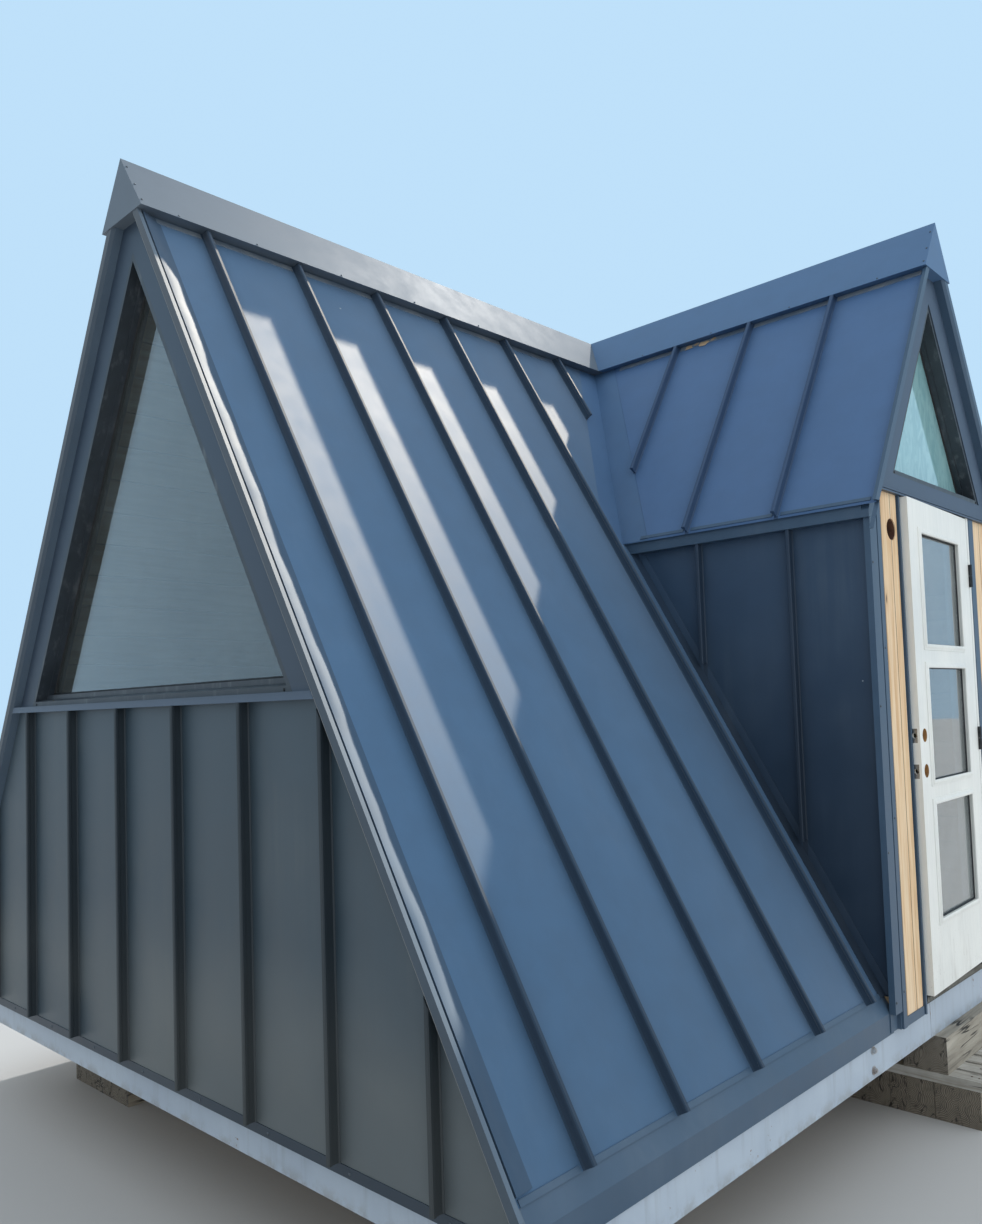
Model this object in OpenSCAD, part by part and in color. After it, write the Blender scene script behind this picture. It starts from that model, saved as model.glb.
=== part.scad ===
// A-frame tiny house with one cross gable, on a steel base carried by stacked timbers.
// X runs across the house with the doorway towards +X, Y runs along the main ridge,
// and Z is up from the ground. The origin is on the ground under the middle of the main ridge.

/* [House] */
// Length between the outer faces of the two gable rakes
house_l = 5506; // [5200:1:6000]
// Half width to the face of the eave trim
eave_half_w = 1814; // [1760:1:1900]
// Height of the eave fold above the underside of the steel base
eave_fold_h = 199; // [190:1:215]
// Height where the two roof skins meet, above the underside of the steel base
apex_h = 3333; // [3200:1:3450]
// Height of the bottom edge of the roof pans above the underside of the steel base
pan_foot_h = 248; // [240:1:280]
// Thickness of the insulated roof slabs
slab_t = 131; // [120:1:140]
// Thickness of the gable and door walls
wall_t = 100; // [90:1:110]
// Thickness of the metal pans
pan_t = 4; // [3:0.5:5]
// Thickness of the bent metal trims
trim_t = 2.5; // [2:0.5:3]

/* [Steel base] */
// Height of the channel rails
base_h = 160; // [150:1:165]
// Thickness of the channel steel
base_t = 6; // [5:1:8]
// Width of the channel flanges
base_flange = 55; // [45:1:70]
// Setback of the side rails behind the face of the eave trim
base_inset_x = 9; // [5:1:14]
// Setback of the end rails behind the face of the rakes
base_inset_y = 83; // [80:1:90]
// Number of cross joists
joist_n = 7; // [5:1:9]
// Width of the cross joists
joist_w = 50; // [40:1:60]
// Thickness of the floor boards
floor_t = 18; // [15:1:22]

/* [Supports] */
// Height of one support timber
timber_h = 145; // [130:1:160]
// Width of one support timber
timber_w = 174; // [160:1:190]
// Thickness of the boards between the timbers
board_t = 38; // [30:1:45]
// Length of the side supports along the house
side_crib_l = 604; // [560:1:700]
// How far the side bearers stand out past the face of the eave trim
bearer_out = 37; // [20:1:50]
// How far the outermost side timbers stand out past the side bearers
crib_out = 117; // [90:1:140]
// Distance of the inner supports from the middle of the house across it
inner_crib_x = 1150; // [1000:10:1250]
// Distance of the inner supports from the middle of the house along it
inner_crib_y = 2050; // [1900:10:2150]
// Gap between neighbouring timbers
timber_gap = 3; // [2:1:6]
// Length of the inner supports
inner_crib_l = 600; // [500:10:700]
// Number of boards on each side support
crib_board_n = 6; // [4:1:7]
// Width of those boards
crib_board_w = 84; // [70:1:95]
// How far those boards stand out past the outermost side timbers
crib_board_out = 20; // [0:1:40]
// Width of the boards on the inner supports
inner_board_w = 120; // [100:1:140]
// Distance between the boards on the inner supports
inner_board_step = 200; // [160:5:230]

/* [Standing seams] */
// Distance between seams on the long slopes
seam_pitch = 406.4; // [380:0.1:430]
// First seam from the rake on the long slopes
seam_first = 263; // [240:1:290]
// Distance between seams on the gables
gable_pitch = 408.7; // [380:0.1:430]
// Gable seam to the right of the middle, as seen from the front
gable_seam_x = 295; // [260:1:330]
// Distance between seams on the dormer
dormer_pitch = 415; // [400:1:430]
// First seam on the dormer roof from the main ridge
dormer_seam_x = 644; // [600:1:680]
// First seam on the dormer side wall from the main ridge
side_seam_x = 1092; // [1060:1:1120]
// Height of a seam
seam_h = 38; // [30:1:42]
// Width of the folded head of a seam
seam_w = 16; // [12:1:20]

/* [Ridge caps] */
// Height of the cap apex above the roof apex
cap_rise = 66; // [60:1:75]
// Height of the sloping faces of the caps
cap_drop = 229; // [220:1:240]
// Half width of the main cap at its lower edge
cap_half_w = 154; // [148:1:160]
// Half width of the dormer cap at its lower edge
dormer_cap_half_w = 143; // [138:1:150]
// How far the main cap stands past the rakes
cap_over = 10; // [5:1:20]
// Thickness of the cap sheet as modelled
cap_t = 4; // [3:0.5:5]

/* [Dormer] */
// Width of the dormer front from the latch side of the doorway to the outer face of the side wall
door_side_w = 268; // [250:1:300]
// How far the dormer eaves stand out from the side walls
dormer_eave_out = 59; // [50:1:70]
// How far the dormer eaves lie below the band over the doorway
dormer_eave_drop = 67; // [40:1:90]
// How far the eave fascias reach below the dormer eaves
fascia_drop = 53; // [43:1:73]
// How far the door wall structure stands in front of the eave trims
door_wall_out = 1; // [0:1:5]
// How far the corner trims and the door frame stand in front of the door wall structure
trim_out = 23; // [19:1:27]
// How far the dormer roof stands in front of the corner trims
dormer_over = 40; // [32:1:57]
// How far the dormer cap stands in front of the dormer roof
dormer_cap_over = 10; // [5:1:20]
// Thickness of the dormer side walls
side_wall_t = 90; // [80:1:100]
// Thickness of the insulated slabs of the dormer roof
dormer_slab_t = 143; // [130:1:150]
// Setback of each valley flashing edge from the valley
valley_w = 135; // [110:1:150]

/* [Rakes and bands] */
// Depth of the rake trims below the roof skin
rake_below = 24; // [18:1:30]
// Depth below the roof skin at which the rake face bends back
rake_bend = 10; // [6:1:14]
// Height of the raised lip of the rake trims above the roof skin
rake_lip_h = 19; // [14:1:24]
// Depth of that lip
rake_lip_d = 14; // [12:1:18]
// How far the rake trims stand in front of the edge of the pans
rake_front = 7; // [5:1:9]
// How far the ends of the rake trims wrap round the eave corners
rake_wrap = 28; // [20:1:35]
// How far the lower ends of the dormer rake trims reach below the fascias
rake_tail_drop = 57; // [30:1:80]
// Depth from the edge of the pans back to the wall structure
rake_d = 40; // [38:1:44]
// Depth from the edge of the pans back to the face of the bands
band_in = 33; // [28:1:35]
// Height of the gable window sill above the underside of the steel base
sill_h = 1426; // [1380:1:1460]
// Height of the ledge trim under the gable windows
ledge_h = 24; // [20:1:30]
// Height of the lower edge of the trims at the base
trim_foot_h = 119; // [110:1:130]
// Height of the top of the base flashing
flashing_top_h = 150; // [140:1:155]
// Height of the band between the doorway and the dormer window sill
door_band_d = 81; // [70:1:95]

/* [Windows] */
// Depth of the window frames
frame_d = 112; // [105:1:120]
// Width of the face of a window frame
frame_face_w = 17; // [14:1:20]
// Depth of the reveal in front of the glazing bead
frame_reveal_d = 46; // [40:1:52]
// How far the glazing bead stands in from the reveal at the sides
bead_w = 5; // [4:1:8]
// Height of the glazing bead above the bottom of the frame
bead_h = 46; // [42:1:50]
// Rise of the sloping sill from its front to the bead
sill_rise = 10; // [6:1:14]
// Distance from the frame face to the glass
glass_in = 71; // [66:1:76]
// Thickness of the glass units
glass_t = 20; // [16:1:24]
// Depth of the glazing groove
glass_bite = 12; // [8:1:14]

/* [Doorway] */
// Width of the door leaf
leaf_w = 758; // [740:1:765]
// Height of the door leaf
leaf_h = 1950; // [1940:1:1955]
// Thickness of the door leaf
leaf_t = 44; // [40:1:48]
// Hinge edge of the leaf from the middle of the dormer
leaf_hinge_y = 322; // [315:1:330]
// Gap between the leaf and the frame over it and on the hinge side
leaf_gap = 5; // [4:0.5:6]
// Gap between the leaf and the latch side of the frame
latch_gap = 7; // [5:0.5:9]
// Gap between the threshold and the foot of the leaf
leaf_clear = 8; // [6:1:12]
// Angle at which the leaf stands ajar
ajar = 2; // [1:0.1:3]
// Thickness of the latch side of the frame
jamb_t = 20; // [16:1:24]
// Thickness of the hinge side of the frame
hinge_jamb_t = 22; // [20:1:26]
// Height of the threshold above the floor
threshold_h = 27; // [22:1:30]
// Width of the latch stile beside the lights
latch_stile = 125; // [110:1:140]
// Width of the hinge stile beside the lights
hinge_stile = 149; // [110:1:160]
// Height of the bars between the lights
lite_bar = 90; // [84:1:100]
// Height of the rail under the lowest light
bottom_rail = 271; // [240:1:300]
// Height of the rail over the highest light
top_rail = 131; // [110:1:160]
// Distance of the lock bores from the latch edge
backset = 57; // [52:1:62]
// Diameter of the lock bores
lock_bore_d = 54; // [50:1:56]
// Height of the deadbolt bore above the foot of the leaf
deadbolt_up = 1002; // [985:1:1015]
// Distance between the two lock bores
lock_pitch = 140; // [130:1:150]
// Diameter of the bore from the latch edge into each lock bore
latch_bore_d = 25; // [22:1:26]
// Width of the plates in the latch edge
edge_plate_w = 25; // [22:1:28]
// Height of those plates
edge_plate_h = 56; // [50:1:60]
// Thickness of those plates
edge_plate_t = 3; // [2:0.5:4]
// Diameter of the hole in each of those plates
edge_hole_d = 20; // [18:1:22]
// Height of a hinge
hinge_h = 102; // [90:1:110]
// Diameter of the hinge knuckles
knuckle_d = 14; // [12:1:15]
// Height of the middle of the lowest hinge above the foot of the leaf
hinge_low = 230; // [200:1:260]
// Depth of the middle of the highest hinge below the top of the leaf
hinge_top = 260; // [200:1:280]
// Width of the hinge plates
hinge_plate_w = 32; // [28:1:38]
// Thickness of the hinge plates
hinge_plate_t = 2; // [1.5:0.5:2.5]
// Diameter of the hinge pins
pin_d = 7; // [6:0.5:8]

/* [Door wall finish] */
// Thickness of the timber cladding
clad_t = 15; // [12:1:18]
// Width of the outer strip of the corner trims
corner_w = 61; // [55:1:66]
// Width of the inner strip of the corner trims
corner_in_w = 33; // [28:1:38]
// Width of the groove between the two strips
corner_groove = 8; // [6:1:10]
// Height of the lower end of the outer strip
corner_foot_h = 193; // [185:1:200]
// Width of the channel trim on the latch side of the doorway
jtrim_w = 12; // [10:1:16]
// Width of the channel trim on the hinge side of the doorway
hinge_trim_w = 58; // [50:1:62]
// Width of the shadow gaps beside those trims
trim_gap = 9; // [6:1:12]
// Height of the lower edge of the cladding
clad_foot_h = 160; // [155:1:170]
// Diameter of the hole in the cladding
lamp_hole_d = 86; // [70:1:90]
// Depth of that hole behind the cladding
lamp_box_d = 60; // [40:1:70]
// Distance of the middle of that hole from the edge of the cladding beside the door
lamp_hole_in = 58; // [50:1:66]
// Depth of the middle of that hole below the band over the doorway
lamp_hole_down = 142; // [120:1:160]

/* [Hidden] */

metal = "#3b4654";
metal_dark = "#2b3440";
steel_paint = "#c9d0d8";
timber_old = "#8d8069";
board_wood = "#c9a77c";
panel = "#b9a98c";
cream = "#e9e6dc";
glass_tint = "#a9cdd0";
eps = 1;
// Clearance between parts that rest on each other
seat = 0.2;

// Heights up the door wall, from the floor to the dormer eaves and window
floor_h = base_h;
threshold_top_h = floor_h + threshold_h;
leaf_foot_h = threshold_top_h + leaf_clear;
door_band_h = leaf_foot_h + leaf_h + leaf_gap;
dormer_sill_h = door_band_h + door_band_d;
dormer_eave_h = door_band_h - dormer_eave_drop;
fascia_h = dormer_eave_h - fascia_drop;
rake_tail_h = fascia_h - rake_tail_drop;
lite_h = (leaf_h - bottom_rail - top_rail - 2 * lite_bar) / 3;
deadbolt_h = leaf_foot_h + deadbolt_up;
lamp_hole_h = door_band_h - lamp_hole_down;
// Places along the door wall, from the door to the dormer eaves
jamb_face_y = leaf_hinge_y + leaf_gap;
latch_edge_y = leaf_hinge_y - leaf_w;
latch_jamb_y = latch_edge_y - latch_gap;
lite_w = leaf_w - latch_stile - hinge_stile;
lite_y = latch_edge_y + latch_stile;
side_wall_y = door_side_w - latch_jamb_y;
dormer_half_w = side_wall_y + dormer_eave_out;
// Faces in front of the main ridge, from the door wall to the dormer cap, and the supports
door_wall_x = eave_half_w + door_wall_out;
trim_face_x = door_wall_x + trim_out;
dormer_front_x = trim_face_x + dormer_over;
dormer_cap_x = dormer_front_x + dormer_cap_over;
side_bearer_x = eave_half_w + bearer_out;
side_crib_x = side_bearer_x + crib_out;

support_h = 2 * timber_h + board_t;
half_l = house_l / 2;
wall_face = half_l - rake_d;
roof_k = eave_half_w / (apex_h - eave_fold_h);
lean = atan(roof_k);
dormer_k = dormer_half_w / (apex_h - dormer_eave_h);
dormer_lean = atan(dormer_k);
roof_level = sqrt(1 + roof_k * roof_k);
dormer_level = sqrt(1 + dormer_k * dormer_k);
cap_apex_h = apex_h + cap_rise;
cap_edge_h = cap_apex_h - cap_drop;
rail_x = eave_half_w - base_inset_x;
rail_y = half_l - base_inset_y;
valley_ratio = roof_k / dormer_k;
joist_step = 2 * inner_crib_y / (joist_n - 1);
hinge_x = trim_face_x + knuckle_d / 2 + 1;
hinge_y = leaf_hinge_y + leaf_gap / 2;
low_hinge_h = leaf_foot_h + hinge_low;
top_hinge_h = leaf_foot_h + leaf_h - hinge_top;
hinge_heights = [low_hinge_h, (low_hinge_h + top_hinge_h) / 2, top_hinge_h];
corner_y = side_wall_y + 33;
clad_in_y = corner_y - corner_w - corner_groove - corner_in_w;
latch_clad_y = latch_jamb_y - jtrim_w - trim_gap;
lamp_hole_y = lamp_hole_in - latch_clad_y;
hinge_trim_y = jamb_face_y + hinge_jamb_t + trim_gap;
hinge_clad_y = hinge_trim_y + hinge_trim_w;
leg_x = eave_half_w + seat;

// Level distance from the middle to a plane that lies d inside the main roof skin
function roof_x(z, d = 0) = roof_k * (apex_h - z) - d * roof_level;
// Height at which that plane crosses a given level distance
function roof_z(x, d = 0) = apex_h - (x + d * roof_level) / roof_k;
// The same for the dormer roof
function dormer_y(z, d = 0) = dormer_k * (apex_h - z) - d * dormer_level;
function dormer_z(y, d = 0) = apex_h - (y + d * dormer_level) / dormer_k;
inner_d = pan_t + slab_t;
dormer_inner_d = pan_t + dormer_slab_t;
slab_out = pan_t + seat;

module lift() translate([0, 0, support_h]) children();
// Runs a section drawn in X and Z along Y
module along_y(y0, y1) translate([0, y1, 0]) rotate([90, 0, 0]) linear_extrude(y1 - y0) children();
// Runs a section drawn in Y and Z along X
module along_x(x0, x1) translate([x0, 0, 0]) rotate([90, 0, 90]) linear_extrude(x1 - x0) children();
module both_ends() { children(); mirror([0, 1, 0]) children(); }
module both_sides() { children(); mirror([1, 0, 0]) children(); }
module block(x0, x1, y0, y1, z0, z1) translate([x0, y0, z0]) cube([x1 - x0, y1 - y0, z1 - z0]);

// Section of one folded standing seam, sunk a little into its pan
module seam_section() {
    web = seam_w * 0.3;
    head = seam_w / 2;
    polygon([[-head, -1], [head, -1], [head, 0], [web, 4], [web, seam_h * 0.64], [head, seam_h * 0.7],
        [head, seam_h - 3], [head - 3, seam_h], [3 - head, seam_h], [-head, seam_h - 3],
        [-head, seam_h * 0.7], [-web, seam_h * 0.64], [-web, 4], [-head, 0]]);
}

// Supports
module crib_sleepers() color(timber_old) {
    step = timber_w + timber_gap;
    both_sides() {
        for (i = [0:2])
            block(side_crib_x - i * step - timber_w, side_crib_x - i * step, -side_crib_l / 2,
                side_crib_l / 2, 0, timber_h);
        both_ends() for (i = [-1:1])
            block(inner_crib_x - timber_w / 2 + i * step, inner_crib_x + timber_w / 2 + i * step,
                inner_crib_y - inner_crib_l / 2, inner_crib_y + inner_crib_l / 2, 0, timber_h);
    }
}

module crib_boards() color(board_wood) {
    step = (side_crib_l - crib_board_w) / (crib_board_n - 1);
    x_in = side_crib_x - 3 * timber_w - 2 * timber_gap;
    both_sides() {
        for (i = [0:crib_board_n - 1])
            block(x_in, side_crib_x + crib_board_out, -side_crib_l / 2 + i * step,
                -side_crib_l / 2 + i * step + crib_board_w, timber_h, timber_h + board_t);
        both_ends() for (i = [-1:1])
            block(inner_crib_x - 1.5 * timber_w, inner_crib_x + 1.5 * timber_w,
                inner_crib_y + i * inner_board_step - inner_board_w / 2,
                inner_crib_y + i * inner_board_step + inner_board_w / 2, timber_h, timber_h + board_t);
    }
}

module crib_bearers() color(timber_old) both_sides() {
    block(side_bearer_x - timber_w, side_bearer_x, -side_crib_l / 2, side_crib_l / 2, timber_h + board_t,
        support_h);
    both_ends() block(inner_crib_x - inner_crib_l / 2, inner_crib_x + inner_crib_l / 2,
        inner_crib_y - timber_w / 2, inner_crib_y + timber_w / 2, timber_h + board_t, support_h);
}

// Steel base
module channel_section() polygon([[0, 0], [0, base_h], [-base_flange, base_h],
    [-base_flange, base_h - base_t], [-base_t, base_h - base_t], [-base_t, base_t],
    [-base_flange, base_t], [-base_flange, 0]]);

module base_side_rails() color(steel_paint) lift() both_sides()
    along_y(-rail_y, rail_y) translate([rail_x, 0]) channel_section();

module base_end_rails() color(steel_paint) lift() mirror([0, 1, 0]) both_ends()
    along_x(-rail_x + base_flange, rail_x - base_flange) translate([rail_y, 0]) channel_section();

module base_joists() color(steel_paint) lift() for (i = [0:joist_n - 1])
    block(-rail_x + base_flange, rail_x - base_flange, -inner_crib_y + i * joist_step - joist_w / 2,
        -inner_crib_y + i * joist_step + joist_w / 2, 0, base_h - floor_t);

module floor_deck() color(panel) lift()
    block(-rail_x + base_flange, rail_x - base_flange, -rail_y + base_flange, rail_y - base_flange,
        base_h - floor_t, floor_h);

// Roof and wall structure
function slab_points() = let (x = eave_half_w - trim_t)
    [[0, roof_z(0, slab_out)], [x, roof_z(x, slab_out)], [x, floor_h],
    [roof_x(floor_h, inner_d), floor_h], [0, roof_z(0, inner_d)]];

module roof_slab_left() color(panel) lift() mirror([1, 0, 0])
    along_y(-wall_face, wall_face) polygon(slab_points());

module roof_slab_right() color(panel) lift() both_ends()
    along_y(-wall_face, -side_wall_y) polygon(slab_points());

module valley_slab() intersection() {
    along_y(-side_wall_y, 0) polygon(slab_points());
    linear_extrude(2 * apex_h) polygon([[0, 0], [0, -side_wall_y],
        [side_wall_y * valley_ratio, -side_wall_y]]);
}
module valley_slab_front() color(panel) lift() valley_slab();
module valley_slab_rear() color(panel) lift() mirror([0, 1, 0]) valley_slab();

module dormer_slab() difference() {
    intersection() {
        along_x(0, door_wall_x) polygon([[0, dormer_z(0, slab_out)],
            [-side_wall_y, dormer_z(side_wall_y, slab_out)],
            [-side_wall_y, dormer_z(side_wall_y, dormer_inner_d)], [0, dormer_z(0, dormer_inner_d)]]);
        linear_extrude(2 * apex_h) polygon([[seat, 0], [side_wall_y * valley_ratio + seat, -side_wall_y],
            [door_wall_x, -side_wall_y], [door_wall_x, 0]]);
    }
    main_cap_space();
}
// The space taken up by the main ridge cap
module main_cap_space() along_y(-half_l, half_l) polygon([[-cap_half_w - eps, cap_edge_h - seat],
    [cap_half_w + eps, cap_edge_h - seat], [0, cap_apex_h + eps * cap_drop / cap_half_w]]);
module dormer_slab_front() color(panel) lift() dormer_slab();
module dormer_slab_rear() color(panel) lift() mirror([0, 1, 0]) dormer_slab();

module gable_wall() let (d = inner_d + seat, foot = roof_x(floor_h, d), top = roof_x(sill_h, d))
    along_y(-wall_face, -wall_face + wall_t)
        polygon([[-foot, floor_h], [foot, floor_h], [top, sill_h], [-top, sill_h]]);
module gable_wall_front() color(panel) lift() gable_wall();
module gable_wall_rear() color(panel) lift() mirror([0, 1, 0]) gable_wall();

module dormer_side_walls() color(panel) lift() both_ends() intersection() {
    x1 = door_wall_x - wall_t;
    d = inner_d + seat;
    top = dormer_eave_h + side_wall_t;
    along_y(-side_wall_y, -side_wall_y + side_wall_t)
        polygon([[roof_x(floor_h, d), floor_h], [x1, floor_h], [x1, top], [roof_x(top, d), top]]);
    along_x(0, x1) polygon([[0, floor_h], [-side_wall_y, floor_h],
        [-side_wall_y, dormer_z(side_wall_y, dormer_inner_d + seat)],
        [0, dormer_z(0, dormer_inner_d + seat)]]);
    linear_extrude(2 * apex_h) polygon([[seat, 0], [side_wall_y * valley_ratio + seat, -side_wall_y],
        [2 * eave_half_w, -side_wall_y], [2 * eave_half_w, 0]]);
}

door_head_h = door_band_h + jamb_t;
module door_wall(y0, y1) let (d = dormer_inner_d + seat) along_x(door_wall_x - wall_t, door_wall_x)
    polygon([[y0, floor_h], [y1, floor_h], [y1, door_head_h], [dormer_y(door_head_h, d), door_head_h],
        [y0, dormer_z(y0, d)]]);

module door_wall_left() color(panel) lift() difference() {
    mirror([0, 1, 0]) door_wall(side_wall_y, -latch_jamb_y + jamb_t);
    translate([door_wall_x - lamp_box_d, -lamp_hole_y, lamp_hole_h]) rotate([0, 90, 0])
        cylinder(h = lamp_box_d + eps, d = lamp_hole_d, $fn = 64);
}
module door_wall_right() color(panel) lift() door_wall(side_wall_y, jamb_face_y + hinge_jamb_t);

module door_wall_header() color(panel) lift() let (d = dormer_inner_d + seat,
    foot = dormer_y(door_head_h, d), top = dormer_y(dormer_sill_h, d))
    along_x(door_wall_x - wall_t, door_wall_x)
        polygon([[-foot, door_head_h], [foot, door_head_h], [top, dormer_sill_h], [-top, dormer_sill_h]]);

// Standing seam skins
module pan_section() polygon([[0, apex_h], [roof_x(pan_foot_h), pan_foot_h],
    [roof_x(pan_foot_h, pan_t), pan_foot_h], [0, roof_z(0, pan_t)]]);

// One seam up the right-hand slope from height z0 to the cap
module slope_seam(y, z0 = pan_foot_h) translate([roof_x(z0), y, z0])
    rotate([0, -lean, 0]) rotate([0, 0, -90])
        linear_extrude((cap_edge_h - z0) * roof_level + seam_h) seam_section();

module under_cap() difference() {
    children();
    translate([-half_l, -half_l, cap_edge_h - seat]) cube([2 * half_l, 2 * half_l, apex_h]);
}

seams_front = [for (y = seam_first; y < half_l - dormer_half_w - 2 * seam_w; y = y + seam_pitch) y - half_l];
seam_short_y = seams_front[len(seams_front) - 1] + seam_pitch;
valley_end_y = -seams_front[len(seams_front) - 1] - seam_w;
valley_end_x = dormer_half_w * valley_ratio;
valley_foot_x = valley_end_x + 5;
side_pan_y = side_wall_y + pan_t;

module roof_pans_left() color(metal) lift() mirror([1, 0, 0]) union() {
    along_y(-half_l, half_l) pan_section();
    under_cap() for (y = [-half_l + seam_first : seam_pitch : half_l - 120]) slope_seam(y);
}

module roof_pans_right() color(metal) lift() both_ends() union() {
    intersection() {
        along_y(-half_l, 0) pan_section();
        linear_extrude(2 * apex_h) polygon([[0, -half_l], [0, -valley_w],
            [(valley_end_y - valley_w) * valley_ratio, -valley_end_y], [valley_foot_x, -valley_end_y],
            [valley_foot_x, -side_pan_y], [eave_half_w, -side_pan_y], [eave_half_w, -half_l]]);
    }
    under_cap() {
        for (y = seams_front) slope_seam(y);
        if (seam_short_y < -2 * valley_w) slope_seam(seam_short_y, dormer_z(-seam_short_y - valley_w));
    }
}

// One seam up the front slope of the dormer
module dormer_seam(x) {
    z0 = max(dormer_eave_h, roof_z(x - valley_w));
    translate([x, -dormer_y(z0), z0]) rotate([-dormer_lean, 0, 0]) rotate([0, 0, 180])
        linear_extrude((cap_edge_h - z0) * dormer_level + seam_h) seam_section();
}

module dormer_roof_pans() color(metal) lift() both_ends() union() {
    intersection() {
        along_x(0, dormer_front_x) polygon([[0, apex_h], [-dormer_half_w, dormer_eave_h],
            [-dormer_half_w, dormer_z(dormer_half_w, pan_t)], [0, dormer_z(0, pan_t)]]);
        linear_extrude(2 * apex_h) polygon([[valley_w, 0], [valley_w + valley_end_x, -dormer_half_w],
            [dormer_front_x, -dormer_half_w], [dormer_front_x, 0]]);
    }
    under_cap() for (x = [dormer_seam_x : dormer_pitch : dormer_front_x - 100]) dormer_seam(x);
}

gable_top_h = sill_h - ledge_h;
skin_x = eave_half_w - trim_t;
corner_x = eave_half_w + eps;
corner_in_x = corner_x - rake_below;
rake_in = rake_below + seat;
module gable_region() {
    foot = trim_foot_h + trim_t;
    x = corner_in_x - seat;
    top_x = roof_x(gable_top_h, rake_in);
    polygon([[-x, foot], [x, foot], [x, roof_z(x, rake_in)], [top_x, gable_top_h],
        [-top_x, gable_top_h], [-x, roof_z(x, rake_in)]]);
}
module gable_skin() {
    along_y(-wall_face - pan_t, -wall_face) gable_region();
    intersection() {
        union() for (x = [gable_seam_x - 4 * gable_pitch : gable_pitch : gable_seam_x + 3 * gable_pitch])
            translate([x, -wall_face - pan_t, flashing_top_h]) rotate([0, 0, 180])
                linear_extrude(gable_top_h - flashing_top_h) seam_section();
        along_y(-half_l - seam_h, -wall_face) gable_region();
    }
}
module gable_pans() color(metal_dark) lift() both_ends() gable_skin();

apron_w = 42;
apron_h = 40;
// Part of the side wall above the main roof, set back level from it by d
module side_region(d) polygon([[roof_x(pan_foot_h) + d, pan_foot_h], [2 * eave_half_w, pan_foot_h],
    [2 * eave_half_w, fascia_h], [roof_x(fascia_h) + d, fascia_h]]);
module dormer_side_pans() color(metal_dark) lift() both_ends() {
    x1 = eave_half_w;
    intersection() {
        union() {
            block(0, x1, -side_pan_y, -side_wall_y, pan_foot_h, fascia_h);
            for (x = [side_seam_x : dormer_pitch : x1 - 100])
                translate([x, -side_pan_y, pan_foot_h]) rotate([0, 0, 180])
                    linear_extrude(fascia_h - pan_foot_h) seam_section();
        }
        union() {
            along_y(-side_pan_y, -side_wall_y) side_region(0);
            along_y(-side_pan_y - seam_h, -side_wall_y) side_region((apron_h + 2) * roof_level);
        }
    }
}

// Ridge caps, hollow and closed at their ends
module cap_section(w, k) {
    top = cap_apex_h;
    low = cap_edge_h;
    inset = cap_t * sqrt(1 + pow(w / cap_drop, 2));
    in_w = (w / cap_drop) * (top - low - cap_t) - inset;
    seat = k * (apex_h - low);
    seat_up = k * (apex_h - low - cap_t);
    polygon([[0, top], [w, low], [seat, low], [seat_up, low + cap_t], [in_w, low + cap_t],
        [0, top - inset * cap_drop / w], [-in_w, low + cap_t], [-seat_up, low + cap_t],
        [-seat, low], [-w, low]]);
}
// Underside between the end of the cap and the band
module cap_soffit(x, y0, y1) block(-x, x, y0, y1, cap_edge_h, cap_edge_h + cap_t);
module cap_end(w) polygon([[0, cap_apex_h], [w, cap_edge_h], [-w, cap_edge_h]]);

module main_ridge_cap() color(metal) lift() {
    y_end = half_l + cap_over;
    along_y(-y_end, y_end) cap_section(cap_half_w, roof_k);
    both_ends() {
        along_y(-y_end, -y_end + cap_t) cap_end(cap_half_w);
        block(-roof_x(cap_edge_h), roof_x(cap_edge_h), -y_end, -half_l, cap_edge_h, cap_edge_h + cap_t);
        cap_soffit(roof_x(cap_edge_h + cap_t, slab_out), -y_end, -wall_face - seat);
    }
}

module dormer_ridge_cap() color(metal) lift() difference() {
    union() {
        along_x(0, dormer_cap_x) cap_section(dormer_cap_half_w, dormer_k);
        along_x(dormer_cap_x - cap_t, dormer_cap_x) cap_end(dormer_cap_half_w);
        block(dormer_front_x, dormer_cap_x, -dormer_y(cap_edge_h), dormer_y(cap_edge_h), cap_edge_h,
            cap_edge_h + cap_t);
        rotate([0, 0, 90]) cap_soffit(dormer_y(cap_edge_h + cap_t, slab_out), -dormer_cap_x,
            -door_wall_x - seat);
    }
    along_y(-half_l, half_l) polygon([[0, cap_apex_h + eps], [-cap_half_w, cap_apex_h],
        [-cap_half_w, 0], [cap_half_w, 0], [cap_half_w, cap_edge_h], [0, cap_apex_h]]);
}

// Bent trims
trim_down = pan_t - trim_t;
fold_z = roof_z(eave_half_w, trim_down);
module eave_section() polygon([[roof_x(pan_foot_h, trim_down), pan_foot_h], [eave_half_w, fold_z],
    [eave_half_w, trim_foot_h], [rail_x, trim_foot_h], [rail_x, trim_foot_h + trim_t],
    [skin_x, trim_foot_h + trim_t], [skin_x, roof_z(skin_x, pan_t)],
    [roof_x(pan_foot_h, pan_t), pan_foot_h]]);
module eave_trims() color(metal) lift() {
    wrap_y = -half_l + rake_wrap + seat;
    mirror([1, 0, 0]) along_y(wrap_y, -wrap_y) eave_section();
    both_ends() along_y(wrap_y, -side_wall_y - seat) eave_section();
}

// Depth at which the bent-back lower edge of a rake trim ends, and that of its lip
rake_back = rake_below - rake_bend - rake_front - 4;
lip_back = rake_lip_d - rake_front;
// Section of a rake trim: depth back from the edge of the pans, and height out of the roof skin
module rake_profile(depth) polygon([[-rake_front, rake_lip_h], [-rake_front, -rake_bend],
    [rake_back, -rake_below], [depth, -rake_below], [depth, -slab_out], [-seat, -slab_out],
    [-seat, seat], [lip_back, seat], [lip_back, rake_lip_h]]);
// The bent-back lower part of that section
module tail_profile() polygon([[-rake_front, -rake_bend], [rake_back, -rake_below],
    [rake_bend, -rake_below], [rake_bend, -rake_bend]]);
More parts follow.
